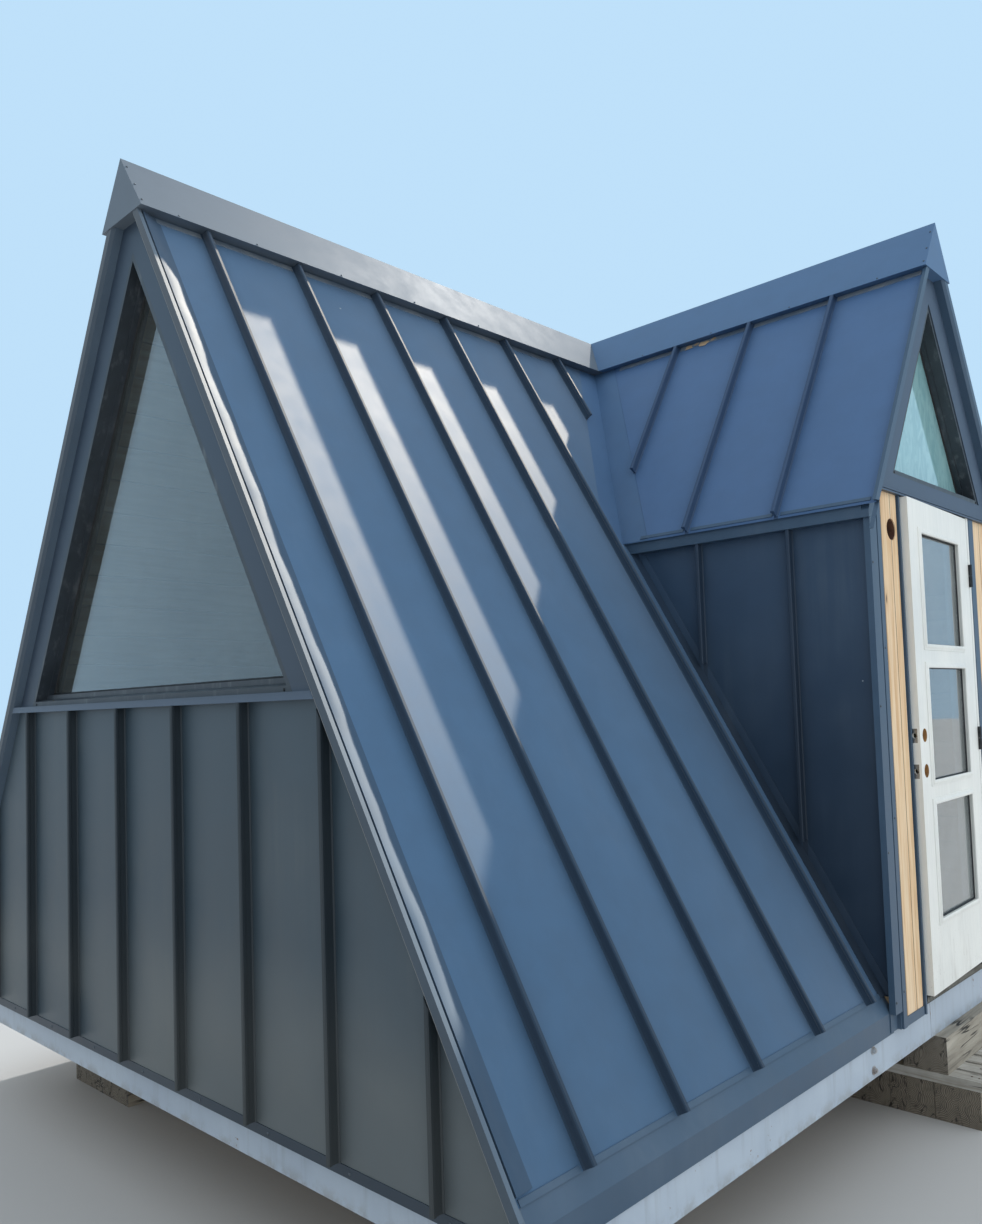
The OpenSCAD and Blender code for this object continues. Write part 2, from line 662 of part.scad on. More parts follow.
// The section below the pans, where it wraps the corner
module foot_profile() polygon([[-rake_front, rake_lip_h], [-rake_front, -rake_bend],
    [rake_back, -rake_below], [rake_wrap, -rake_below], [rake_wrap, -trim_down],
    [lip_back, -trim_down], [lip_back, rake_lip_h]]);

module main_slope() translate([roof_x(0), -half_l, 0]) rotate([0, -lean, 0]) rotate([0, 0, -90])
    linear_extrude(2 * apex_h) mirror([1, 0]) children();
module rake_trim() {
    split = pan_foot_h - seat;
    intersection() {
        main_slope() rake_profile(rake_d);
        block(0, 2 * eave_half_w, -half_l - 50, 0, split, cap_edge_h);
    }
    intersection() {
        main_slope() foot_profile();
        block(0, corner_x, -half_l - 50, 0, trim_foot_h, split);
    }
    block(corner_in_x, corner_x - 0.5, -half_l - rake_front + 0.5, -half_l + rake_wrap - 0.5,
        trim_foot_h, fold_z - 5);
    block(corner_in_x + 1, skin_x - seat, -half_l + rake_wrap - 3, -wall_face,
        trim_foot_h + trim_t + eps, fold_z - 9);
}
module rake_trims() color(metal_dark) lift() both_ends() both_sides() rake_trim();

module dormer_slope() translate([dormer_front_x, -dormer_y(0), 0]) rotate([-dormer_lean, 0, 0])
    rotate([0, 0, 180]) linear_extrude(2 * apex_h) children();
module dormer_rake_trims() color(metal_dark) lift() both_ends() {
    intersection() {
        dormer_slope() rake_profile(dormer_front_x - door_wall_x);
        block(0, 2 * dormer_front_x, -2 * dormer_half_w, 0, dormer_eave_h, cap_edge_h);
    }
    intersection() {
        dormer_slope() tail_profile();
        block(0, 2 * dormer_front_x, -2 * dormer_half_w, 0, rake_tail_h, dormer_eave_h + 30);
    }
}

fascia_y = dormer_half_w - 13;
band_x = trim_face_x + 4;
module dormer_fascias() color(metal_dark) lift() both_ends() difference() {
    union() {
        along_x(0, door_wall_x - eps) polygon([[-fascia_y, fascia_h], [-side_wall_y - seat, fascia_h],
            [-side_wall_y - seat, dormer_z(side_wall_y, slab_out)],
            [-fascia_y, dormer_z(fascia_y, slab_out)]]);
        along_x(door_wall_x - 2, band_x) polygon([[-fascia_y, fascia_h], [-corner_y - seat, fascia_h],
            [-corner_y - seat, dormer_z(corner_y, rake_in)], [-fascia_y, dormer_z(fascia_y, rake_in)]]);
    }
    along_y(-half_l, 0) polygon([[0, 0], [roof_x(0) + seat, 0], [seat, apex_h], [0, apex_h]]);
}

module valley_flashings() color(metal) lift() both_ends() {
    edge = valley_w - seat;
    foot_y = -valley_end_y + seat;
    under_cap() intersection() {
        along_y(-half_l, 0) polygon([[0, roof_z(0, trim_down)], [roof_x(pan_foot_h, trim_down), pan_foot_h],
            [roof_x(pan_foot_h, pan_t), pan_foot_h], [0, roof_z(0, pan_t)]]);
        linear_extrude(2 * apex_h) polygon([[0.5, -0.5 / valley_ratio], [0.5, -edge - 0.5 / valley_ratio],
            [(-foot_y - edge) * valley_ratio, foot_y], [valley_foot_x - seat, foot_y],
            [valley_foot_x - seat, -dormer_half_w], [valley_end_x - seat, -dormer_half_w]]);
    }
    under_cap() intersection() {
        along_x(0, dormer_front_x) polygon([[0, dormer_z(0, trim_down)],
            [-dormer_half_w, dormer_z(dormer_half_w, trim_down)],
            [-dormer_half_w, dormer_z(dormer_half_w, pan_t)], [0, dormer_z(0, pan_t)]]);
        linear_extrude(2 * apex_h) polygon([[0.5, -0.5 / valley_ratio], [valley_end_x, -dormer_half_w],
            [valley_end_x + edge, -dormer_half_w], [edge + 0.5, -0.5 / valley_ratio]]);
    }
}

module wall_aprons() color(metal_dark) lift() both_ends() intersection() {
    translate([roof_x(pan_foot_h), -side_pan_y, pan_foot_h]) rotate([0, -lean, 0]) rotate([0, 0, -90])
        linear_extrude(2 * apex_h) polygon([[0, 0], [apron_w, 0], [apron_w, trim_t], [trim_t + 4, 12],
            [trim_t, apron_h], [0, apron_h]]);
    block(0, eave_half_w, -half_l, 0, pan_foot_h, fascia_h);
}

module base_flashings() color(metal_dark) lift() both_ends() {
    y0 = -wall_face - pan_t - trim_t;
    x = corner_in_x - seat;
    block(-x, x, y0, y0 + trim_t, trim_foot_h, flashing_top_h);
    block(-x, x, y0 + trim_t, -rail_y, trim_foot_h, trim_foot_h + trim_t);
}

module under_dormer_rake() intersection() {
    children();
    along_x(0, 2 * dormer_front_x) polygon([[0, 0], [-2 * dormer_half_w, 0],
        [-2 * dormer_half_w, dormer_z(2 * dormer_half_w, rake_in)], [0, dormer_z(0, rake_in)]]);
}
module corner_trims() color(metal_dark) lift() {
    foot = trim_foot_h + 7;
    groove_y = corner_y - corner_w;
    strip_y = groove_y - corner_groove;
    both_ends() under_dormer_rake() {
        block(leg_x, trim_face_x, -corner_y, -side_wall_y - seat, corner_foot_h, door_band_h);
        block(door_wall_x, trim_face_x, -side_wall_y - eps, -groove_y, corner_foot_h, door_band_h);
        block(leg_x, door_wall_x + trim_t, -corner_y, -side_wall_y - seat, foot, corner_foot_h);
        block(door_wall_x, door_wall_x + trim_t, -side_wall_y - eps, -strip_y, foot, corner_foot_h);
        block(door_wall_x, trim_face_x - 8, -groove_y, -strip_y, foot, door_band_h);
        block(door_wall_x, trim_face_x, -strip_y, -clad_in_y, foot, door_band_h);
    }
    block(door_wall_x, trim_face_x, latch_jamb_y - jtrim_w, latch_jamb_y, foot, door_band_h);
    block(door_wall_x, door_wall_x + trim_t, latch_clad_y, latch_jamb_y - jtrim_w, foot, door_band_h);
    block(door_wall_x, trim_face_x, hinge_trim_y, hinge_clad_y, foot, door_band_h);
    block(door_wall_x, door_wall_x + trim_t, hinge_trim_y - trim_gap, hinge_trim_y, foot, door_band_h);
    block(door_wall_x, trim_face_x - 4, -clad_in_y, latch_clad_y, foot, clad_foot_h);
    block(door_wall_x, trim_face_x - 4, hinge_clad_y, clad_in_y, foot, clad_foot_h);
}

// A level strip across the gable between the rake trims, from height z0 to z1
module roof_strip(z0, z1) polygon([[-roof_x(z0, rake_in), z0], [roof_x(z0, rake_in), z0],
    [roof_x(z1, rake_in), z1], [-roof_x(z1, rake_in), z1]]);
// Flat bands that close the slab ends round the windows, with the ledge under each
module gable_band() {
    along_y(-half_l + band_in, -wall_face) difference() {
        roof_strip(sill_h, cap_edge_h - seat);
        polygon([[-roof_x(sill_h - eps, inner_d), sill_h - eps],
            [roof_x(sill_h - eps, inner_d), sill_h - eps], [0, roof_z(0, inner_d)]]);
    }
    along_y(-half_l + 2, -wall_face) roof_strip(gable_top_h, sill_h);
}
// A strip of the band over the doorway
module door_band(z0, z1) polygon([[-dormer_y(z0, rake_in), z0], [dormer_y(z0, rake_in), z0],
    [dormer_y(z1, rake_in), z1], [-dormer_y(z1, rake_in), z1]]);
module window_bands() color(metal) lift() {
    both_ends() gable_band();
    along_x(door_wall_x, band_x) difference() {
        door_band(door_band_h, cap_edge_h - seat);
        dormer_tri(0, 0);
    }
    for (z = [door_band_h, door_band_h + 10]) along_x(band_x - eps, band_x + 5) door_band(z, z + 7);
}

// Triangle inset by d from the opening between the slabs, its foot raised by up
module gable_tri(d, up) polygon([[-roof_x(sill_h + up, inner_d + d), sill_h + up],
    [roof_x(sill_h + up, inner_d + d), sill_h + up], [0, roof_z(0, inner_d + d)]]);
module dormer_tri(d, up) let (z = dormer_sill_h + up, e = dormer_inner_d + d)
    polygon([[-dormer_y(z, e), z], [dormer_y(z, e), z], [0, dormer_z(0, e)]]);
// Section of the sloping sill, with depth from the frame face first
module sill_section(z) polygon([[0, z - eps], [frame_reveal_d, z - eps],
    [frame_reveal_d, z + sill_rise], [0, z]]);

glass_face = band_in + glass_in;
face_up = frame_face_w + 2;
bead_d = frame_face_w + bead_w;
groove_d = bead_d - glass_bite;
groove_up = bead_h - glass_bite;
module gable_frame() {
    y0 = -half_l + band_in;
    difference() {
        along_y(y0, y0 + frame_d) gable_tri(seat, seat);
        along_y(y0 - eps, y0 + frame_reveal_d) gable_tri(frame_face_w, face_up);
        along_y(y0, y0 + frame_d + eps) gable_tri(bead_d, bead_h);
        along_y(y0 + glass_in, y0 + glass_in + glass_t) gable_tri(groove_d, groove_up);
    }
    intersection() {
        along_x(-eave_half_w, eave_half_w) translate([y0, 0]) sill_section(sill_h + face_up);
        along_y(y0, y0 + frame_d) gable_tri(2 * seat, seat);
    }
}
module window_frame_front() color(metal_dark) lift() gable_frame();
module window_frame_rear() color(metal_dark) lift() mirror([0, 1, 0]) gable_frame();
module window_frame_dormer() color(metal_dark) lift() {
    x1 = trim_face_x;
    difference() {
        along_x(x1 - frame_d, x1) dormer_tri(seat, seat);
        along_x(x1 - frame_reveal_d, x1 + eps) dormer_tri(frame_face_w, face_up);
        along_x(x1 - frame_d - eps, x1) dormer_tri(bead_d, bead_h);
        along_x(x1 - glass_in - glass_t, x1 - glass_in) dormer_tri(groove_d, groove_up);
    }
    intersection() {
        rotate([0, 0, 90]) along_x(-dormer_half_w, dormer_half_w) translate([-x1, 0])
            sill_section(dormer_sill_h + face_up);
        along_x(x1 - frame_d, x1) dormer_tri(2 * seat, seat);
    }
}
module window_glass() color(glass_tint, 0.5) lift() {
    both_ends() along_y(-half_l + glass_face, -half_l + glass_face + glass_t)
        gable_tri(groove_d + seat, groove_up + seat);
    along_x(trim_face_x - glass_in - glass_t, trim_face_x - glass_in)
        dormer_tri(groove_d + seat, groove_up + seat);
}

// Door wall finish and door frame
module timber_cladding() color(board_wood) lift() under_dormer_rake_both() difference() {
    union() {
        block(door_wall_x, door_wall_x + clad_t, -clad_in_y, latch_clad_y, clad_foot_h, door_band_h);
        block(door_wall_x, door_wall_x + clad_t, hinge_clad_y, clad_in_y, clad_foot_h, door_band_h);
    }
    translate([door_wall_x - eps, -lamp_hole_y, lamp_hole_h]) rotate([0, 90, 0])
        cylinder(h = clad_t + 2 * eps, d = lamp_hole_d, $fn = 64);
}
module under_dormer_rake_both() intersection() {
    children();
    along_x(0, 2 * dormer_front_x) polygon([[-2 * dormer_half_w, 0], [2 * dormer_half_w, 0],
        [2 * dormer_half_w, dormer_z(2 * dormer_half_w, rake_in)], [0, dormer_z(0, rake_in)],
        [-2 * dormer_half_w, dormer_z(2 * dormer_half_w, rake_in)]]);
}

stop_t = 12;
stop_w = 48;
stop_x = trim_face_x - leaf_t - 6;
module door_jambs() color(cream) lift() difference() {
    union() {
        block(door_wall_x - wall_t, door_wall_x, latch_jamb_y - jamb_t, latch_jamb_y, floor_h, door_band_h);
        block(stop_x - stop_w, stop_x, latch_jamb_y, latch_jamb_y + stop_t, floor_h, door_band_h);
        block(door_wall_x - wall_t, trim_face_x, jamb_face_y, jamb_face_y + hinge_jamb_t, floor_h,
            door_band_h);
        block(stop_x - stop_w, stop_x, jamb_face_y - stop_t, jamb_face_y, floor_h, door_band_h);
    }
    block(door_wall_x - wall_t - eps, trim_face_x + eps, latch_jamb_y - eps, jamb_face_y + eps, 0,
        threshold_top_h);
    for (z = hinge_heights) hinge_plate_frame(z);
}
module door_head() color(cream) lift() {
    block(door_wall_x - wall_t, door_wall_x, latch_jamb_y - jamb_t, jamb_face_y + hinge_jamb_t,
        door_band_h, door_head_h);
    block(stop_x - stop_w, stop_x, latch_jamb_y + stop_t, jamb_face_y - stop_t, door_band_h - stop_t,
        door_band_h);
}
module threshold() color("#8f9296") lift() difference() {
    block(door_wall_x - wall_t, trim_face_x - 3, latch_jamb_y, jamb_face_y, floor_h, threshold_top_h);
    block(door_wall_x - wall_t - eps, stop_x - stop_w, latch_jamb_y - eps, jamb_face_y + eps, floor_h + 12,
        threshold_top_h + eps);
}

// Door leaf, drawn shut and then turned to where it stands ajar
module swing() lift() translate([hinge_x, hinge_y, 0]) rotate([0, 0, ajar])
    translate([-hinge_x, -hinge_y, 0]) children();
function lite_foot(i) = leaf_foot_h + bottom_rail + i * (lite_h + lite_bar);
leaf_back = trim_face_x - leaf_t;
leaf_mid = leaf_back + leaf_t / 2;

module door_leaf() color(cream) swing() difference() {
    block(leaf_back, trim_face_x, latch_edge_y, leaf_hinge_y, leaf_foot_h, leaf_foot_h + leaf_h);
    for (i = [0:2]) block(leaf_back - eps, trim_face_x + eps, lite_y, lite_y + lite_w, lite_foot(i),
        lite_foot(i) + lite_h);
    for (i = [0, 1]) translate([leaf_back - eps, latch_edge_y + backset, deadbolt_h - i * lock_pitch]) {
        rotate([0, 90, 0]) cylinder(h = leaf_t + 2 * eps, d = lock_bore_d, $fn = 48);
        translate([leaf_t / 2 + eps, -backset - eps, 0]) rotate([-90, 0, 0])
            cylinder(h = backset, d = latch_bore_d, $fn = 32);
    }
    for (i = [0, 1]) lock_plate(deadbolt_h - i * lock_pitch, 0);
    for (z = hinge_heights) hinge_plate_door(z);
}
module lock_plate(z, bore) difference() {
    block(leaf_mid - edge_plate_w / 2, leaf_mid + edge_plate_w / 2, latch_edge_y - eps * (1 - bore),
        latch_edge_y + edge_plate_t, z - edge_plate_h / 2, z + edge_plate_h / 2);
    if (bore > 0) translate([leaf_mid, latch_edge_y - eps, z]) rotate([-90, 0, 0])
        cylinder(h = edge_plate_t + 2 * eps, d = edge_hole_d, $fn = 32);
}
module door_lock_plates() color("#b9bcc0") swing() for (i = [0, 1])
    lock_plate(deadbolt_h - i * lock_pitch, 1);

module door_glass() color(glass_tint, 0.5) swing() for (i = [0:2])
    block(leaf_mid - glass_t / 2, leaf_mid + glass_t / 2, lite_y, lite_y + lite_w, lite_foot(i),
        lite_foot(i) + lite_h);

moulding_w = 24;
moulding_h = 12;
module moulding_ring(i) difference() {
    w = moulding_w;
    block(trim_face_x, trim_face_x + moulding_h / 2, lite_y - w / 2, lite_y + lite_w + w / 2,
        lite_foot(i) - w / 2, lite_foot(i) + lite_h + w / 2);
    block(trim_face_x - eps, trim_face_x + moulding_h, lite_y, lite_y + lite_w, lite_foot(i),
        lite_foot(i) + lite_h);
}
module door_mouldings() color(cream) swing() for (i = [0:2]) moulding_ring(i);

// Hinges: the lower knuckle and pin belong to the frame, the upper knuckle to the leaf
module hinge_plate_frame(z) block(trim_face_x - hinge_plate_w, trim_face_x, jamb_face_y,
    jamb_face_y + hinge_plate_t, z - hinge_h / 2, z + hinge_h / 2);
module hinge_plate_door(z) block(trim_face_x - hinge_plate_w, trim_face_x, leaf_hinge_y - hinge_plate_t,
    leaf_hinge_y, z - hinge_h / 2, z + hinge_h / 2);
module hinge_frame_halves() color("#1d1f22") lift() for (z = hinge_heights) {
    hinge_plate_frame(z);
    block(trim_face_x, hinge_x, jamb_face_y, jamb_face_y + hinge_plate_t, z - hinge_h / 2, z - 1);
    translate([hinge_x, hinge_y, z - hinge_h / 2]) {
        cylinder(h = hinge_h / 2 - 1, d = knuckle_d, $fn = 32);
        cylinder(h = hinge_h - 2, d = pin_d, $fn = 32);
    }
}
module hinge_door_halves() color("#1d1f22") swing() for (z = hinge_heights) {
    hinge_plate_door(z);
    difference() {
        union() {
            block(trim_face_x, hinge_x, leaf_hinge_y - hinge_plate_t, leaf_hinge_y, z + 1,
                z + hinge_h / 2);
            translate([hinge_x, hinge_y, z + 1]) cylinder(h = hinge_h / 2 - 1, d = knuckle_d, $fn = 32);
        }
        translate([hinge_x, hinge_y, z - eps]) cylinder(h = hinge_h, d = pin_d + 0.6, $fn = 32);
    }
}

crib_sleepers();
crib_boards();
crib_bearers();
base_side_rails();
base_end_rails();
base_joists();
floor_deck();
roof_slab_left();
roof_slab_right();
valley_slab_front();
valley_slab_rear();
dormer_slab_front();
dormer_slab_rear();
gable_wall_front();
gable_wall_rear();
dormer_side_walls();
door_wall_left();
door_wall_right();
door_wall_header();
roof_pans_left();
roof_pans_right();
dormer_roof_pans();
gable_pans();
dormer_side_pans();
main_ridge_cap();
dormer_ridge_cap();
eave_trims();
rake_trims();
dormer_rake_trims();
dormer_fascias();
valley_flashings();
wall_aprons();
base_flashings();
corner_trims();
window_bands();
window_frame_front();
window_frame_rear();
window_frame_dormer();
window_glass();
timber_cladding();
door_jambs();
door_head();
threshold();
door_leaf();
door_glass();
door_mouldings();
door_lock_plates();
hinge_frame_halves();
hinge_door_halves();
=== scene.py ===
import math
import random
import bpy
import bmesh
from mathutils import Vector, Matrix, Quaternion


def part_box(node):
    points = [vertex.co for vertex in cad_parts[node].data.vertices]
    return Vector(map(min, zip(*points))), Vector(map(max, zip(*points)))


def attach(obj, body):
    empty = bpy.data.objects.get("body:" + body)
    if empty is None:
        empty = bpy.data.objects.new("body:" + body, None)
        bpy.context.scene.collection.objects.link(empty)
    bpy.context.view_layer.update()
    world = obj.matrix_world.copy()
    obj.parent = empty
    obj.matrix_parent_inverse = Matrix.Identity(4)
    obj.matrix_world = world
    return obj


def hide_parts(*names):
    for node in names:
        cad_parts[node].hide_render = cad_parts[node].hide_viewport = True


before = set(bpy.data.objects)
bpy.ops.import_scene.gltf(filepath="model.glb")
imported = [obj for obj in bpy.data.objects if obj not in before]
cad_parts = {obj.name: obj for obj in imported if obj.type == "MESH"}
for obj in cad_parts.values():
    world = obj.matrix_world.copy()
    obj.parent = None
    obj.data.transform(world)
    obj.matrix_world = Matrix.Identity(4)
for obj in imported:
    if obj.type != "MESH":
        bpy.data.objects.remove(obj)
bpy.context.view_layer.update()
print("frame loaded")

# sizes in metres, heights above the underside of the steel base
house = {
    "lift": 0.328, "apex": 3.333, "roofK": 0.57881, "dormerK": 0.616, "halfLength": 2.753,
    "capApex": 3.399, "capEdge": 3.170, "capHalf": 0.154, "dormerCapHalf": 0.143,
    "capEnd": 2.763, "dormerCapEnd": 1.888, "panFoot": 0.248, "rakeLine": 2.739,
    "seams": (-2.490, -2.0836, -1.6772, -1.2708, -0.8644), "seamPitch": 0.4064, "seamHalf": 0.008,
    "leftSeams": 13, "dormerSeams": (0.644, 1.059, 1.474), "dormerEave": 2.083,
    "hinge": (1.846, 0.3245), "ajar": 2.0, "doorFace": 1.838,
}


def at(x, y, z):
    # a point at height z above the underside of the steel base
    return Vector((x, y, z + house["lift"]))


def roofSpot(y, z, out=0.0, side=1):
    # a point at height z on the long slope, lifted off it by out
    level = math.hypot(1, house["roofK"])
    x = house["roofK"] * (house["apex"] - z) + out / level
    return at(side * x, y, z + out * house["roofK"] / level)


def dormerSpot(x, z, out=0.0, side=-1):
    level = math.hypot(1, house["dormerK"])
    y = house["dormerK"] * (house["apex"] - z) + out / level
    return at(x, side * y, z + out * house["dormerK"] / level)


def capSlope(dormer=False):
    half = house["dormerCapHalf"] if dormer else house["capHalf"]
    return half / (house["capApex"] - house["capEdge"])


def capSpot(along, z, side=1, dormer=False):
    # a point on the sloping face of a ridge cap
    away = side * capSlope(dormer) * (house["capApex"] - z)
    return at(along, away, z) if dormer else at(away, along, z)


def doorSpot(x, y, z):
    # from the shut leaf to the leaf as it stands ajar
    hx, hy = house["hinge"]
    a = math.radians(house["ajar"])
    dx, dy = x - hx, y - hy
    return at(hx + dx * math.cos(a) - dy * math.sin(a), hy + dx * math.sin(a) + dy * math.cos(a), z)


def facing(along, normal):
    # the turn that lays a piece along one way, with its top towards normal
    z = Vector(normal).normalized()
    x = (Vector(along) - z * Vector(along).dot(z)).normalized()
    return Matrix((x, z.cross(x), z)).transposed().to_quaternion()


camera = {"place": (3.3210, -4.3613, 1.6933), "turn": (93.140, 1.841, 43.910), "lens": 28.775, "sensor": 36.0,
          "shift": 0.0334, "near": 0.05, "far": 200.0}


def makeCamera():
    data = bpy.data.cameras.new("camera")
    data.sensor_width = camera["sensor"]
    data.lens = camera["lens"]
    data.shift_y = camera["shift"]
    data.clip_start, data.clip_end = camera["near"], camera["far"]
    cam = bpy.data.objects.new("camera", data)
    cam.location = camera["place"]
    cam.rotation_euler = [math.radians(a) for a in camera["turn"]]
    bpy.context.scene.collection.objects.link(cam)
    bpy.context.scene.camera = cam


makeCamera()
print("camera made")


# short ways to build a material's nodes
def linear(v):
    v /= 255.0
    return v / 12.92 if v <= 0.04045 else ((v + 0.055) / 1.055) ** 2.4


def tone(colour):
    # a screen colour, three numbers from 0 to 255, as the linear colour that a socket takes; all else as it is
    if isinstance(colour, tuple) and len(colour) == 3:
        return tuple(linear(v) for v in colour) + (1.0,)
    return colour


def feed(node, inputs):
    # links the sockets and sets the other values
    for key, value in inputs.items():
        if isinstance(value, bpy.types.NodeSocket):
            node.id_data.links.new(value, node.inputs[key])
        else:
            node.inputs[key].default_value = value


def put(kind, inputs, tree=None, **settings):
    # a new node in the given tree, or else in the tree of the sockets that feed it
    if tree is None:
        tree = next(value.id_data for value in inputs.values() if isinstance(value, bpy.types.NodeSocket))
    node = tree.nodes.new(kind)
    for key, value in settings.items():
        setattr(node, key, value)
    feed(node, inputs)
    return node


def shaderOf(mat):
    return mat.node_tree.nodes["Principled BSDF"]


def startMaterial(name, sockets=None):
    mat = bpy.data.materials.new(name)
    mat.use_nodes = True
    feed(shaderOf(mat), sockets or {})
    return mat, put("ShaderNodeTexCoord", {}, mat.node_tree).outputs["Object"]


def surface(mat, colour, rough, height):
    # the last step of a finish; the height is in metres
    bump = put("ShaderNodeBump", {"Height": height, "Distance": 1.0, "Strength": 1.0}).outputs[0]
    feed(shaderOf(mat), {"Base Color": colour, "Roughness": rough, "Normal": bump})
    return mat


def scaled(spot, scale, turn=(0, 0, 0)):
    return put("ShaderNodeMapping", {"Vector": spot, "Scale": scale, "Rotation": turn}).outputs[0]


def noise(spot, scale, detail=3.0, rough=0.5, distortion=0.0):
    return put("ShaderNodeTexNoise", {"Vector": spot, "Scale": scale, "Detail": detail, "Roughness": rough,
                                      "Distortion": distortion}).outputs["Fac"]


def calc(operation, a, b=0.0, clamp=False):
    return put("ShaderNodeMath", {0: a, 1: b}, operation=operation, use_clamp=clamp).outputs[0]


def times(a, b, clamp=False):
    return calc("MULTIPLY", a, b, clamp)


def plus(a, b, clamp=False):
    return calc("ADD", a, b, clamp)


def minus(a, b, clamp=False):
    return calc("SUBTRACT", a, b, clamp)


def above(a, b):
    return calc("GREATER_THAN", a, b)


def absolute(a):
    return calc("ABSOLUTE", a)


def band(value, low, high, start=0.0, end=1.0):
    # a smooth step from start at low to end at high
    return put("ShaderNodeMapRange", {"Value": value, "From Min": low, "From Max": high, "To Min": start,
                                      "To Max": end}, interpolation_type="SMOOTHSTEP").outputs[0]


def mixed(fac, a, b):
    return put("ShaderNodeMix", {0: fac, 6: tone(a), 7: tone(b)}, data_type="RGBA").outputs[2]


def dimmed(colour, by):
    colour = tone(colour)[:3] if isinstance(colour, tuple) else colour
    return put("ShaderNodeVectorMath", {0: colour, "Scale": by}, operation="SCALE").outputs[0]


def shades(fac, stops):
    node = put("ShaderNodeValToRGB", {"Fac": fac})
    ramp = node.color_ramp
    while len(ramp.elements) < len(stops):
        ramp.elements.new(0.5)
    for element, (place, colour) in zip(ramp.elements, stops):
        element.position = place
        element.color = tone(colour)
    return node.outputs["Color"]


def axes(spot):
    return put("ShaderNodeSeparateXYZ", {0: spot}).outputs


def normals(mat):
    return axes(put("ShaderNodeTexCoord", {}, mat.node_tree).outputs["Normal"])


def cellsOf(spot, scale):
    return put("ShaderNodeTexVoronoi", {"Vector": spot, "Scale": scale, "Randomness": 1.0}).outputs


def redOf(colour):
    return put("ShaderNodeSeparateColor", {0: colour}).outputs[0]


# painted sheet metal: satin paint over slightly bowed sheet, with a little dust and a few chips; painted shade on the
# ribs and along their feet, and painted shade and light by height
plainSheet = {"rib": 1.0, "beside": 1.0, "dust": (142, 152, 160), "dusty": 0.08, "groundGlow": 0.0, "rough": 0.46,
              "sheen": 0.0, "axis": 0, "pitch": 0.9, "phase": 0.1, "bow": 0.0008, "ripple": 0.0016,
              "heights": (0.5, 3.0, 1.0, 1.0)}
# one charcoal sheet metal throughout; the blue in these paints is painted reflection of the sky, toned surface by
# surface
ownSheets = {
    "roofMetal": {"paint": (62, 99, 133), "rib": 0.42, "beside": 0.87, "dust": (138, 158, 178), "dusty": 0.07,
                  "rough": 0.68, "sheen": 0.50, "axis": 1, "pitch": house["seamPitch"], "phase": house["seams"][0],
                  "bow": 0.0014, "heights": (0.5, 1.8, 0.86, 1.0)},
    "dormerMetal": {"paint": (72, 104, 144), "rib": 0.55, "beside": 0.92, "dust": (140, 160, 184), "dusty": 0.06,
                    "rough": 0.50, "pitch": 0.415, "phase": 0.644, "bow": 0.0012, "ripple": 0.0014,
                    "heights": (2.3, 3.5, 1.0, 1.06)},
    "foldMetal": {"paint": (74, 106, 142), "dust": (140, 160, 184), "dusty": 0.06, "rough": 0.50, "pitch": 1.24,
                  "phase": 0.2, "bow": 0.0006, "ripple": 0.0014, "heights": (2.3, 3.8, 0.92, 1.10)},
    "capMetal": {"paint": (98, 110, 122), "dust": (160, 168, 174), "rough": 0.60, "axis": 1, "pitch": 1.31,
                 "phase": -2.2, "ripple": 0.0010, "heights": (3.4, 3.8, 1.0, 1.0)},
    "wallMetal": {"paint": (58, 74, 85), "rib": 0.45, "beside": 0.84, "dust": (150, 150, 142), "dusty": 0.12,
                  "groundGlow": 0.24, "rough": 0.44, "pitch": 0.4087, "phase": -1.3398, "bow": 0.0022, "ripple": 0.0018,
                  "heights": (0.5, 1.7, 1.0, 1.0)},
    # the dormer sides: a darker copy of the gable paint, painted shade of the nook under the roof, darker still lower
    # down
    "sideMetal": {"paint": (44, 65, 88), "rib": 0.66, "beside": 0.90, "dust": (118, 132, 142), "dusty": 0.17,
                  "pitch": 0.415, "phase": 1.092, "bow": 0.0014, "heights": (1.1, 2.4, 0.62, 1.20)},
    # the rakes: their faces along y darker, painted shade on the fronts
    "rakeMetal": {"paint": (86, 104, 121), "rib": 0.55, "dusty": 0.10, "rough": 0.60, "sheen": 0.30, "axis": 1,
                  "ripple": 0.0024},
    # the bands: faces along x lighter, painted light, and all below 1.725 m, the ledge under the gable windows,
    # lighter, painted light
    "bandMetal": {"paint": (50, 64, 80), "rib": 1.9, "dust": (120, 130, 138), "rough": 0.42,
                  "heights": (1.725, 1.790, 1.75, 1.0)},
    # the coves: a darker copy of the roof paint, painted shade that holds down the glancing lamp on them
    "coveMetal": {"paint": (50, 78, 104), "dust": (138, 158, 178), "dusty": 0.07, "rough": 0.80, "sheen": 0.22,
                  "axis": 1, "pitch": house["seamPitch"], "phase": house["seams"][0], "bow": 0.0010, "ripple": 0.0012,
                  "heights": (0.5, 1.8, 0.90, 1.0)},
    "footMetal": {"paint": (46, 58, 70), "dust": (120, 126, 126), "dusty": 0.14, "heights": (0.4, 0.6, 1.0, 1.0)},
    "trimMetal": {"paint": (60, 84, 107), "dusty": 0.12, "rough": 0.44, "axis": 2},
}
sheetLooks = {name: {**plainSheet, **own} for name, own in ownSheets.items()}


